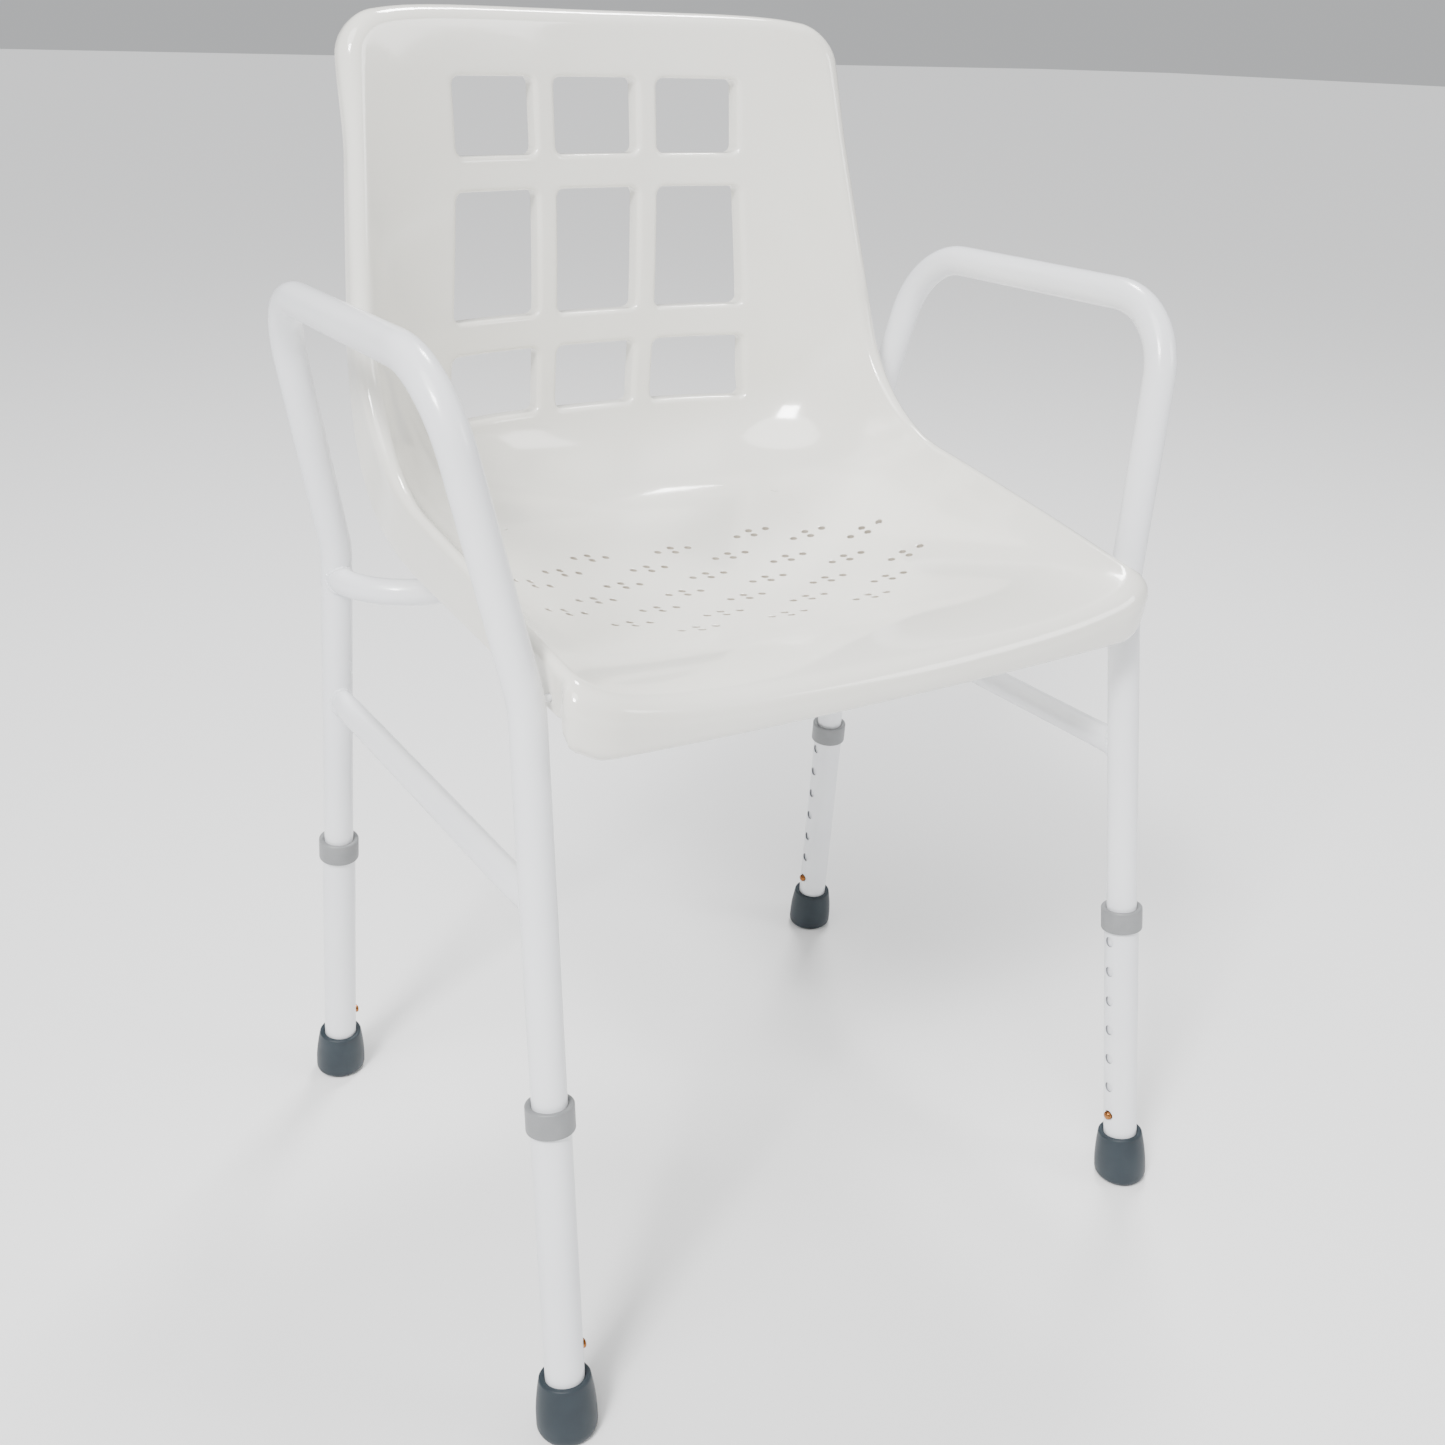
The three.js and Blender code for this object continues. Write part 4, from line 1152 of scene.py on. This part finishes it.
@dataclass
class DrainPattern:
    """The pan's drain holes, in clusters of four with soft edges."""

    shape: Moulding
    radius: float = 2.5 * MM
    soft: float = 1.0 * MM
    step_x: float = 34.7 * MM
    step_y: float = 25.9 * MM
    rear_y: float = 82.6 * MM
    half_x: float = 12.9 * MM
    half_y: float = 4.0 * MM
    cut_below: float = 12 * MM
    cut_above: float = 3 * MM
    pan_half: float = 158 * MM
    pan_front: float = -86 * MM
    pan_rear: float = 91 * MM
    clip_x: float = 110 * MM
    clip_y: float = 75 * MM
    steepest: float = 0.6
    rows: tuple[tuple[int, ...], ...] = (
        (-2, 0, 2), (-3, -1, 1, 3), (-4, -2, 0, 2, 4), (-3, -1, 1, 3), (-4, -2, 0, 2, 4),
        (-3, -1, 1, 3), (-2, 0, 2))

    def places(self) -> list[tuple[Vector, Vector]]:
        """Return each hole's point on the seat and its normal."""
        places = []
        for i, row in enumerate(self.rows):
            for column in row:
                x, y = column * self.step_x, self.rear_y - i * self.step_y
                for dx, dy in ((-self.half_x, 0), (self.half_x, 0), (0, -self.half_y),
                               (0, self.half_y)):
                    places.append(self.shape.seat_place(x + dx, y + dy))
        return places

    def shade_walls(self, piece: bpy.types.Object, palette: "Palette") -> None:
        """Give the walls of the drain holes a painted shade: a darker brownish tone for the shade that falls
        inside them.
        """
        piece.data.materials.append(palette["drain_wall"])
        for face in piece.data.polygons:
            place = face.center
            in_pan = abs(place.x) < self.pan_half and self.pan_front < place.y < self.pan_rear
            by_clip = abs(place.x) > self.clip_x and place.y > self.clip_y
            if in_pan and not by_clip and abs(face.normal.z) < self.steepest:
                face.material_index = 1

    def cutter(self) -> bpy.types.Object:
        """Build the plug that cuts one hole and softens its edge."""
        flare = [(self.radius + self.soft * (1 - math.cos(angle)),
                  -self.soft * (1 - math.sin(angle))) for angle in quarter(4)]
        low, high = -self.cut_below, self.cut_above
        profile = [(0.0, low), (self.radius, low), *flare, (self.radius + self.soft, high),
                   (0.0, high)]
        return place_object("drain_cutter", turned(profile, 18).mesh("drain_cutter"))


CLIPS = ("saddle_clip_left", "saddle_clip_right")
SCREWS = tuple(f"seat_screw_{side}_{letter}" for side in ("left", "right") for letter in "ab")
BOLTS = ("seat_bolt_left", "seat_bolt_right")


@dataclass
class SeatShell:
    """The whole moulding: windows, drain holes and the bosses under the seat."""

    shape: Moulding
    boss_radius: float = 5.5 * MM
    boss_chamfer: float = 0.4 * MM
    bolt_hole: float = 2.7 * MM
    bolt_reach: float = 15 * MM
    boss_gap: float = 0.3 * MM

    def bosses(self, clips: Sequence[str], screws: Sequence[str]) -> Sheet:
        """Build the bosses that the clips' screws go into.

        Args:
            clips: The clips' nodes, whose upper faces the bosses stand on.
            screws: The screws' nodes, which give the bosses' places.

        Returns:
            One solid boss for each screw.
        """
        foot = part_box(clips[0])[1].z + self.boss_gap
        sheet = Sheet()
        for node in screws:
            low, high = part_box(node)
            centre = (low + high) / 2
            top = self.shape.seat_place(centre.x, centre.y)[0].z - self.shape.wall / 2
            boss = turned([(0.0, foot), (self.boss_radius - self.boss_chamfer, foot),
                           (self.boss_radius, foot + self.boss_chamfer),
                           (self.boss_radius, top), (0.0, top)], 28)
            sheet.add(boss, Matrix.Translation((centre.x, centre.y, 0)))
        return sheet

    def bolt_holes(self, bolts: Sequence[str]) -> Sheet:
        """Build the cutters for the bolts through the moulding's sides."""
        sheet = Sheet()
        for node in bolts:
            low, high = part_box(node)
            centre = (low + high) / 2
            reach = self.bolt_reach
            drill = turned([(0.0, -reach), (self.bolt_hole, -reach), (self.bolt_hole, reach),
                            (0.0, reach)], 24)
            turn = Matrix.Rotation(math.pi / 2, 4, "Y")
            sheet.add(drill, Matrix.Translation(centre) @ turn)
        return sheet

    def build(self, palette: Palette) -> bpy.types.Object:
        """Build the moulding and hang it on the frame.

        Args:
            palette: The chair's materials.

        Returns:
            The finished piece.
        """
        piece = place_object("seat_moulding", self.shape.solid().mesh("seat_moulding"))
        windows = BackWindows(self.shape)
        backing = windows.surrounds()
        backing.add(self.bosses(CLIPS, SCREWS))
        combine(piece, place_object("backing", backing.mesh("backing")), "UNION")
        cutters = windows.cutters()
        cutters.add(self.bolt_holes(BOLTS))
        combine(piece, place_object("cutters", cutters.mesh("cutters")), "DIFFERENCE")
        drains = DrainPattern(self.shape)
        cutter = drains.cutter()
        points = point_cloud("drain_points", drains.places())
        run_tree(piece, perforation_tree(), Points=points, Cutter=cutter,
                 Material=palette["shell_plastic"])
        discard(points)
        discard(cutter)
        palette.dress(piece, "shell_plastic")
        drains.shade_walls(piece, palette)
        shade(piece.data, math.radians(30))
        deliver(piece, FRAME_BODY, "shell_plastic", "seat_shell")
        return piece


# The welded frame.


@dataclass
class TubeFrame:
    """The side frames, the rails, the rear cross tube and their welds.

    Attributes:
        legs: The four legs' places.
        low: The height of the seat's lowest point.
    """

    legs: dict[str, Leg]
    low: float
    tube: float = 11.1 * MM
    thin: float = 9.5 * MM
    tube_end: float = 36 * MM
    seat_bend_up: float = 14.7 * MM
    seat_bend_radius: float = 90 * MM
    arm_front_ahead: float = 25 * MM
    arm_rear_ahead: float = 26 * MM
    arm_bend_radius: float = 57 * MM
    rail_down: float = 105.8 * MM
    pressed: float = 0.8
    pressed_length: float = 26 * MM
    cross_y: float = 108 * MM
    cross_bend: float = 58 * MM
    overlap: float = 1 * MM
    bead: float = 1.5 * MM
    bead_lift: float = 0.1 * MM
    ripples: int = 26

    def leg(self, side: Side, end: End) -> Leg:
        """Return the leg at a corner."""
        return self.legs[f"{end.value}_{side.name.lower()}"]

    def side_frame(self, side: Side, palette: Palette) -> None:
        """Build one bent side frame: a front leg, an armrest and a rear leg."""
        node = f"side_frame_{side.name.lower()}"
        low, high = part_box(node)
        arm_x = (high.x - self.tube) if side is Side.LEFT else (low.x + self.tube)
        arm_z = high.z - self.tube
        front, rear = self.leg(side, End.FRONT), self.leg(side, End.REAR)
        seat_z = self.low + self.seat_bend_up
        bends = [front.at_height(seat_z), rear.at_height(seat_z)]
        arms = [Vector((arm_x, bends[0].y + self.arm_front_ahead, arm_z)),
                Vector((arm_x, bends[1].y - self.arm_rear_ahead, arm_z))]
        path = bent_path(
            [front.along(self.tube_end), bends[0], arms[0], arms[1], bends[1],
             rear.along(self.tube_end)],
            [self.seat_bend_radius, self.arm_bend_radius, self.arm_bend_radius,
             self.seat_bend_radius])
        sheet = sweep(path, self.tube, 48)
        piece = place_object(f"side_tube_{side.name.lower()}", sheet.mesh(node))
        palette.dress(piece, "frame_coating")
        deliver(piece, FRAME_BODY, "frame_coating", node)

    def rail_ends(self, side: Side) -> tuple[Vector, Vector]:
        """Return where a rail's axis meets the legs' axes."""
        height = self.low - self.rail_down
        return (self.leg(side, End.FRONT).at_height(height),
                self.leg(side, End.REAR).at_height(height))

    def rail_section(self, side: Side) -> Callable[[Vector, Vector], Vector]:
        """Return the change of section that presses a rail's ends narrower."""
        start, end = self.rail_ends(side)
        way = (end - start).normalized()

        def section(centre: Vector, offset: Vector) -> Vector:
            to_end = min((centre - start).dot(way), (end - centre).dot(way))
            part = smoothstep(to_end, self.tube, self.tube + self.pressed_length)
            squash = lerp(self.pressed, 1, part)
            return Vector((offset.x * squash, offset.y, offset.z / math.sqrt(squash)))

        return section

    def side_rail(self, side: Side, palette: Palette) -> None:
        """Build one rail between a front and a rear leg."""
        node = f"side_rail_{side.name.lower()}"
        start, end = self.rail_ends(side)
        way = (end - start).normalized()
        length = (end - start).length
        inset = self.tube - self.overlap
        steps = 60
        path = [start + way * lerp(inset, length - inset, i / steps) for i in range(steps + 1)]
        sheet = sweep(path, self.thin, 40, self.rail_section(side))
        piece = place_object(f"rail_tube_{side.name.lower()}", sheet.mesh(node))
        palette.dress(piece, "frame_coating")
        deliver(piece, FRAME_BODY, "frame_coating", node)

    def cross_path(self) -> list[Vector]:
        """Return the rear cross tube's centre line, bent forwards under the seat."""
        low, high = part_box("rear_cross_tube")
        height = (low.z + high.z) / 2
        ends = [self.leg(side, End.REAR).at_height(height) for side in (Side.RIGHT, Side.LEFT)]
        corners = [Vector((point.x, self.cross_y, point.z)) for point in ends]
        return bent_path([ends[0], *corners, ends[1]], [self.cross_bend, self.cross_bend], 20)

    def cross_tube(self, palette: Palette) -> None:
        """Build the rear cross tube, with its ends inside the legs' skin."""
        path = self.cross_path()
        inset = self.tube - self.overlap
        path[0] = path[0] + (path[1] - path[0]).normalized() * inset
        path[-1] = path[-1] + (path[-2] - path[-1]).normalized() * inset
        piece = place_object("cross_tube", sweep(path, self.thin, 40).mesh("cross_tube"))
        palette.dress(piece, "frame_coating")
        deliver(piece, FRAME_BODY, "frame_coating", "rear_cross_tube")

    def weld_line(self, leg: Leg, start: Vector, way: Vector,
                  section: Callable[[Vector, Vector], Vector] | None) -> list[Vector]:
        """Return the line where a thin tube's skin meets a leg tube's skin.

        Args:
            leg: The leg.
            start: A point of the thin tube's axis on the leg's axis.
            way: The direction of the thin tube away from the leg.
            section: The thin tube's change of section, if it has one.

        Returns:
            The closed line's points.
        """
        across = way.cross(Z_AXIS).normalized()
        upward = across.cross(way)
        points = []
        count = 40
        for i in range(count):
            angle = math.tau * i / count
            offset = (across * math.cos(angle) + upward * math.sin(angle)) * self.thin
            if section:
                offset = section(start + way * self.tube, offset)
            apart = offset - leg.up * offset.dot(leg.up)
            flat = way - leg.up * way.dot(leg.up)
            a, b = flat.length_squared, 2 * apart.dot(flat)
            c = apart.length_squared - (self.tube + self.bead_lift) ** 2
            root = math.sqrt(max(b * b - 4 * a * c, 0))
            points.append(start + offset + way * ((root - b) / (2 * a)))
        return points

    def welds(self, palette: Palette) -> None:
        """Lay a bead round every joint between a thin tube and a leg."""
        tree = weld_tree()
        material = palette["frame_coating"]
        lines = []
        for side in Side:
            start, end = self.rail_ends(side)
            way = (end - start).normalized()
            section = self.rail_section(side)
            name = side.name.lower()
            lines.append((f"rail_weld_front_{name}", self.weld_line(
                self.leg(side, End.FRONT), start, way, section)))
            lines.append((f"rail_weld_rear_{name}", self.weld_line(
                self.leg(side, End.REAR), end, -way, section)))
        path = self.cross_path()
        for side, first, second in ((Side.RIGHT, path[0], path[1]),
                                    (Side.LEFT, path[-1], path[-2])):
            way = (second - first).normalized()
            lines.append((f"cross_weld_{side.name.lower()}", self.weld_line(
                self.leg(side, End.REAR), first, way, None)))
        for seed, (name, points) in enumerate(lines):
            mesh = bpy.data.meshes.new(name)
            count = len(points)
            edges = [(i, (i + 1) % count) for i in range(count)]
            mesh.from_pydata([tuple(point) for point in points], edges, [])
            piece = place_object(name, mesh)
            run_tree(piece, tree, Bead=self.bead, Ripples=self.ripples, Seed=seed,
                     Material=material)
            palette.dress(piece, "frame_coating")
            shade(piece.data, math.radians(60))
            deliver(piece, FRAME_BODY, "frame_coating")

    def build(self, palette: Palette) -> None:
        """Build the whole welded frame."""
        for side in Side:
            self.side_frame(side, palette)
            self.side_rail(side, palette)
        self.cross_tube(palette)
        self.welds(palette)


# The telescopic legs.


@dataclass
class TelescopicLeg:
    """A leg's sleeve, collar, rubber tip and snap button.

    Attributes:
        leg: Its place.
        drill: The tree that cuts the sleeve's row of holes.
    """

    leg: Leg
    drill: bpy.types.NodeTree
    sleeve_radius: float = 12.7 * MM
    bore: float = 11.5 * MM
    tube: float = 11.1 * MM
    sleeve_bottom: float = 10.1 * MM
    sleeve_top: float = 231 * MM
    button_height: float = 58 * MM
    button_radius: float = 3.3 * MM
    button_proud: float = 3 * MM
    hole_radius: float = 3.9 * MM
    hole_pitch: float = 25 * MM
    holes: int = 7
    drill_out: float = 4 * MM
    drill_depth: float = 20 * MM
    sleeve_edge: float = 0.25 * MM
    end_margin: float = 5 * MM
    wall_margin: float = 0.05 * MM
    collar_wall: float = 2.3 * MM
    collar_skirt: float = 14.4 * MM
    collar_cap: float = 3.2 * MM
    collar_round: float = 1.5 * MM
    collar_step: float = 0.9 * MM
    collar_sink: float = 0.1 * MM
    collar_funnel: float = 1.0 * MM
    collar_bell: tuple[tuple[float, float], ...] = (
        (0.6 * MM, 0.0), (0.15 * MM, 0.3 * MM), (0.0, 0.9 * MM))
    gap: float = 0.3 * MM
    tip_radius: float = 19.85 * MM
    tip_waist: float = 17 * MM
    tip_height: float = 40 * MM
    tip_floor: float = 8 * MM
    tip_base: float = 6.2 * MM
    tip_ring: float = 10 * MM
    tip_slant: float = 9.4 * MM
    tip_recess: float = 1.2 * MM
    tip_belly: float = 12 * MM
    tip_swell: float = 1.7
    tip_round: float = 1.5 * MM
    tip_crown: float = 1.6 * MM
    tip_funnel: tuple[float, float] = (0.5 * MM, 0.6 * MM)
    dome_rise: float = 1.7 * MM
    dome_steps: int = 12
    groove_depth: float = 0.18 * MM
    groove_place: float = 0.52
    groove_width: float = 0.07
    brim: float = 1.1 * MM
    brim_back: float = 7.2 * MM
    brim_front: float = 8.2 * MM
    sides: int = 72

    @property
    def body(self) -> str:
        """Return the name of the leg's body."""
        return f"leg_{self.leg.name}"

    def put(self, name: str, sheet: Sheet, body: str, slot: str, node: str,
            palette: Palette) -> None:
        """Place a sheet in the leg's frame, dress it and hang it on its body."""
        mesh = sheet.mesh(name)
        mesh.transform(self.leg.matrix)
        piece = place_object(name, mesh)
        palette.dress(piece, slot)
        deliver(piece, body, slot, node)

    def sleeve(self, palette: Palette) -> None:
        """Build the sleeve and cut its row of holes."""
        edge = self.sleeve_edge
        bottom, top = self.sleeve_bottom, self.sleeve_top
        outer, inner = self.sleeve_radius, self.bore
        sheet = turned([(inner, bottom), (outer - edge, bottom), (outer, bottom + edge),
                        (outer, top - edge), (outer - edge, top), (inner, top)], self.sides)
        name = f"sleeve_{self.leg.name}"
        piece = place_object(name, sheet.mesh(name))
        run_tree(piece, self.drill, Holes=self.holes, Radius=self.hole_radius,
                 Depth=self.drill_depth, First=(outer + self.drill_out, 0.0, self.button_height),
                 Step=(0.0, 0.0, self.hole_pitch), Material=palette["sleeve_coating"])
        palette.dress(piece, "sleeve_coating")
        self.shade_hole_walls(piece, palette)
        piece.data.transform(self.leg.matrix)
        shade(piece.data, math.radians(30))
        deliver(piece, self.body, "sleeve_coating", f"leg_sleeve_{self.leg.name}")

    def shade_hole_walls(self, piece: bpy.types.Object, palette: Palette) -> None:
        """Give the cut walls of the sleeve's holes a dark grey as painted shade, for the shade that falls in the
        holes.
        """
        piece.data.materials.append(palette["hole_edge"])
        margin = self.wall_margin
        lowest = self.sleeve_bottom + self.end_margin
        highest = min(self.button_height + self.hole_pitch * self.holes,
                      self.sleeve_top - self.end_margin)
        for face in piece.data.polygons:
            place = face.center
            away = math.hypot(place.x, place.y)
            in_wall = self.bore + margin < away < self.sleeve_radius - margin
            if in_wall and lowest < place.z < highest:
                face.material_index = 1

    def collar(self, palette: Palette) -> None:
        """Build the collar, with a rounded top edge and a softly belled lower one."""
        inner = self.sleeve_radius + self.gap
        outer = inner + self.collar_wall
        shoulder = self.sleeve_top + self.gap
        bottom = shoulder - self.collar_skirt
        top = shoulder + self.collar_cap
        lip = self.tube + self.gap
        over, funnel = self.collar_round, self.collar_funnel
        bell = [(outer - back, bottom + up) for back, up in self.collar_bell]
        crown = [(outer - over * (1 - math.cos(angle)), top - over * (1 - math.sin(angle)))
                 for angle in quarter(6)]
        profile = [(inner, bottom), *bell, *crown,
                   (crown[-1][0] - self.collar_step, top - self.collar_sink),
                   (lip + funnel / 2, top - funnel / 2), (lip, top - funnel), (lip, shoulder),
                   (inner, shoulder)]
        self.put(f"collar_{self.leg.name}", turned(profile, self.sides), self.body,
                 "collar_plastic", f"leg_collar_{self.leg.name}", palette)

    def tip_profile(self) -> list[tuple[float, float]]:
        """Return the tip's profile, from the middle of its base to the middle of its bore."""
        bore = self.sleeve_radius + self.gap
        radius, base, recess = self.tip_radius, self.tip_base, self.tip_recess
        points = [(0.0, recess), (radius - self.tip_slant, recess), (radius - self.tip_ring, 0.0),
                  (radius - base, 0.0)]
        for angle in quarter(6, 1):
            points.append((radius - base * (1 - math.sin(angle)), base * (1 - math.cos(angle))))
        shoulder, steps = self.tip_height - self.tip_crown, 10
        for i in range(steps + 1):
            part = i / steps
            points.append((lerp(self.tip_waist, radius, 1 - part ** self.tip_swell),
                           lerp(self.tip_belly, shoulder, part)))
        for angle in quarter(4, 1):
            points.append((self.tip_waist - self.tip_round * (1 - math.cos(angle)),
                           shoulder + self.tip_crown * math.sin(angle)))
        across, down = self.tip_funnel
        points.extend([(bore + across, self.tip_height), (bore, self.tip_height - down),
                       (bore, self.tip_floor), (0.0, self.tip_floor)])
        return points

    def tip(self, palette: Palette) -> None:
        """Build the rubber tip: its bore follows the leg and its base is flat on the floor."""
        sheet = turned(self.tip_profile(), self.sides)
        leg = self.leg
        lean = leg.matrix.to_quaternion()
        inward = Vector((-leg.side.value, 0, 0))
        upright = Matrix((inward, Z_AXIS.cross(inward), Z_AXIS)).transposed().to_quaternion()
        for i, point in enumerate(sheet.points):
            height = point.z
            turn = upright.slerp(lean, clamp(height / self.tip_floor))
            moved = leg.along(height) + turn @ Vector((point.x, point.y, 0))
            sheet.points[i] = Vector((moved.x, moved.y, max(moved.z, 0)))
        name = f"tip_{leg.name}"
        piece = place_object(name, sheet.mesh(name))
        palette.dress(piece, "tip_rubber")
        deliver(piece, self.body, "tip_rubber", f"foot_tip_{leg.name}")

    def button(self, palette: Palette) -> None:
        """Build the snap button with its domed end and its inner brim."""
        tip = self.sleeve_radius + self.button_proud
        dome = []
        for angle in quarter(self.dome_steps)[:-1]:
            away = (math.cos(angle) - self.groove_place) / self.groove_width
            groove = self.groove_depth * math.exp(-away ** 2)
            dome.append((self.button_radius * math.cos(angle),
                         tip - self.dome_rise * (1 - math.sin(angle)) - groove))
        back, front = self.brim_back, self.brim_front
        brim = self.button_radius + self.brim
        profile = [(0.0, back), (brim, back), (brim, front), (self.button_radius, front), *dome,
                   (0.0, tip)]
        sheet = turned(profile, 40)
        turn = Matrix.Translation((0, 0, self.button_height)) @ Matrix.Rotation(math.pi / 2, 4, "Y")
        moved = Sheet()
        moved.add(sheet, turn)
        self.put(f"button_{self.leg.name}", moved, f"button_{self.leg.name}", "button_copper",
                 f"snap_button_{self.leg.name}", palette)

    def build(self, palette: Palette) -> None:
        """Build the whole leg."""
        self.sleeve(palette)
        self.collar(palette)
        self.tip(palette)
        self.button(palette)


# Fasteners.


@dataclass
class Fasteners:
    """The screws and bolts that hold the moulding, each with a cross recess in its head."""

    def fastener(self, name: str, radius: float, head: float, height: float,
                 length: float) -> bpy.types.Object:
        """Build one fastener pointing along Z, with the underside of its head at zero.

        Args:
            name: The object's name.
            radius: The shank's radius.
            head: The head's radius.
            height: The head's height.
            length: The shank's length.

        Returns:
            The fastener as a helper object.
        """
        crown = [(head * math.sin(angle), -height * (0.35 + 0.65 * math.cos(angle)))
                 for angle in quarter(6)]
        profile = [(0.0, -height), *crown[1:], (head, 0.0), (radius, 0.0),
                   (radius, length - 0.5 * MM), (radius * 0.6, length), (0.0, length)]
        piece = place_object(name, turned(profile, 28).mesh(name))
        for turn in (0.0, math.pi / 2):
            bar = bpy.data.meshes.new("bar")
            work = bmesh.new()
            bmesh.ops.create_cube(work, size=1.0)
            work.to_mesh(bar)
            work.free()
            size = Matrix.Diagonal((head * 1.1, head * 0.24, height, 1.0))
            place = Matrix.Rotation(turn, 4, "Z") @ Matrix.Translation((0, 0, -height)) @ size
            shape = Sheet([vertex.co.copy() for vertex in bar.vertices],
                          [tuple(face.vertices) for face in bar.polygons])
            bpy.data.meshes.remove(bar)
            helper = Sheet()
            helper.add(shape, place)
            combine(piece, place_object("bar", helper.mesh("bar")), "DIFFERENCE")
        return piece

    def build(self, palette: Palette) -> None:
        """Set the screws and the bolts in their places."""
        tree = fastener_tree()
        for name, nodes, radius, head, height, axis, slot in (
                ("seat_screws", SCREWS, 2.0 * MM, 4.0 * MM, 2.6 * MM, 2, "fastener_steel"),
                ("seat_bolts", BOLTS, 2.4 * MM, 4.6 * MM, 2.4 * MM, 0, "frame_coating")):
            places = []
            length = 0.0
            for node in nodes:
                low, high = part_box(node)
                centre = (low + high) / 2
                way = Vector((0, 0, 1)) if axis == 2 else Vector((math.copysign(1, centre.x), 0, 0))
                size = high[axis] - low[axis]
                length = size - height
                places.append((centre + way * (height - size / 2), way))
            source = self.fastener(f"{name}_pattern", radius, head, height, length)
            piece = point_cloud(name, places)
            run_tree(piece, tree, Fastener=source, Material=palette[slot])
            discard(source)
            palette.dress(piece, slot)
            shade(piece.data)
            deliver(piece, FRAME_BODY, slot, *nodes)


def dress_kept_nodes(palette: Palette) -> None:
    """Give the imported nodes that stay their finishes."""
    for name, node in frame["nodes"].items():
        if name.startswith(("spring_arm", "spring_clip")):
            palette.dress(node, "button_copper")
        elif name.startswith(("tip_washer", "saddle_clip")):
            palette.dress(node, "fastener_steel")


# The studio.


@dataclass
class Studio:
    """A pale floor, soft lights and the camera."""

    camera_place: Vector = field(default_factory=lambda: Vector((-0.5574, -0.8825, 0.8236)))
    azimuth: float = math.radians(-32.53)
    elevation: float = math.radians(24.05)
    roll: float = math.radians(-1.78)
    lens: float = 38.64
    shift: tuple[float, float] = (-0.0073, 0.001)
    floor_half: float = 40.0
    floor_tone: tuple[float, ...] = (0.9, 0.9, 0.9, 1.0)
    floor_roughness: float = 0.9
    # Each soft light's name, place, size and power.
    lamps: tuple[tuple[str, tuple[float, ...], float, float], ...] = (
        ("key", (-1.9, -1.3, 2.5), 0.6, 110.0),
        ("fill", (1.9, -1.9, 1.7), 0.9, 22.0),
        ("top", (0.9, 0.9, 2.9), 0.5, 60.0))
    aim_height: float = 0.45
    sun_way: tuple[float, ...] = (0.55, 0.35, -1.0)
    sun_power: float = 2.3
    sun_spread: float = math.radians(35)
    sky_tone: tuple[float, ...] = (0.97, 0.985, 1.0, 1.0)
    sky_power: float = 0.55

    def camera(self) -> None:
        """Place the camera."""
        back = Vector((math.sin(self.azimuth) * math.cos(self.elevation),
                       -math.cos(self.azimuth) * math.cos(self.elevation),
                       math.sin(self.elevation)))
        right = (-back).cross(Z_AXIS).normalized()
        down = (-back).cross(right)
        turned_right = right * math.cos(self.roll) + down * math.sin(self.roll)
        turned_down = -right * math.sin(self.roll) + down * math.cos(self.roll)
        data = bpy.data.cameras.new("camera")
        data.sensor_width = 36.0
        data.lens = self.lens
        data.shift_x, data.shift_y = self.shift
        data.clip_start, data.clip_end = 0.01, 50.0
        camera = bpy.data.objects.new("camera", data)
        turn = Matrix((turned_right, -turned_down, back)).transposed().to_4x4()
        camera.matrix_world = Matrix.Translation(self.camera_place) @ turn
        bpy.context.scene.collection.objects.link(camera)
        bpy.context.scene.camera = camera

    def floor(self) -> None:
        """Lay a plain pale floor."""
        half = self.floor_half
        mesh = bpy.data.meshes.new("floor")
        mesh.from_pydata([(-half, -half, 0), (half, -half, 0), (half, half, 0), (-half, half, 0)],
                         [], [(0, 1, 2, 3)])
        floor = place_object("floor", mesh)
        material = bpy.data.materials.new("studio_floor")
        material.use_nodes = True
        shader = material.node_tree.nodes["Principled BSDF"]
        shader.inputs["Base Color"].default_value = self.floor_tone
        shader.inputs["Roughness"].default_value = self.floor_roughness
        mesh.materials.append(material)
        floor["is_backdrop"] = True

    def hang(self, name: str, data: bpy.types.Light, way: Vector) -> bpy.types.Object:
        """Hang a light that shines one way."""
        light = bpy.data.objects.new(name, data)
        light.rotation_euler = way.to_track_quat("-Z", "Y").to_euler()
        bpy.context.scene.collection.objects.link(light)
        return light

    def lights(self) -> None:
        """Hang soft lights and fill the room with even light."""
        for name, place, size, power in self.lamps:
            data = bpy.data.lights.new(name, "AREA")
            data.shape = "SQUARE"
            data.size = size
            data.energy = power
            aim = Vector((0, 0, self.aim_height)) - Vector(place)
            self.hang(name, data, aim).location = place
        data = bpy.data.lights.new("daylight", "SUN")
        data.energy = self.sun_power
        data.angle = self.sun_spread
        self.hang("daylight", data, Vector(self.sun_way))
        world = bpy.data.worlds.new("room")
        world.use_nodes = True
        background = world.node_tree.nodes["Background"]
        background.inputs["Color"].default_value = self.sky_tone
        background.inputs["Strength"].default_value = self.sky_power
        bpy.context.scene.world = world

    def build(self) -> None:
        """Set up the whole studio."""
        self.camera()
        self.floor()
        self.lights()


def corners(box: tuple[Vector, Vector]) -> list[list[float]]:
    """Return a box's corners as plain lists of numbers."""
    return [[float(value) for value in corner] for corner in box]


def main() -> None:
    """Build the chair and the studio."""
    logging.basicConfig(level=logging.INFO, format="%(name)s %(message)s")
    cad_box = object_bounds()
    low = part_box("seat_shell")[0].z + Moulding.lip_down
    legs = find_legs()
    palette = Palette()
    SeatShell(Moulding(low)).build(palette)
    TubeFrame(legs, low).build(palette)
    drill = hole_row_tree()
    for leg in legs.values():
        TelescopicLeg(leg, drill).build(palette)
    Fasteners().build(palette)
    dress_kept_nodes(palette)
    Studio().build()
    {"cad": corners(cad_box), "visual": corners(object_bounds())}


if __name__ == "__main__":
    main()
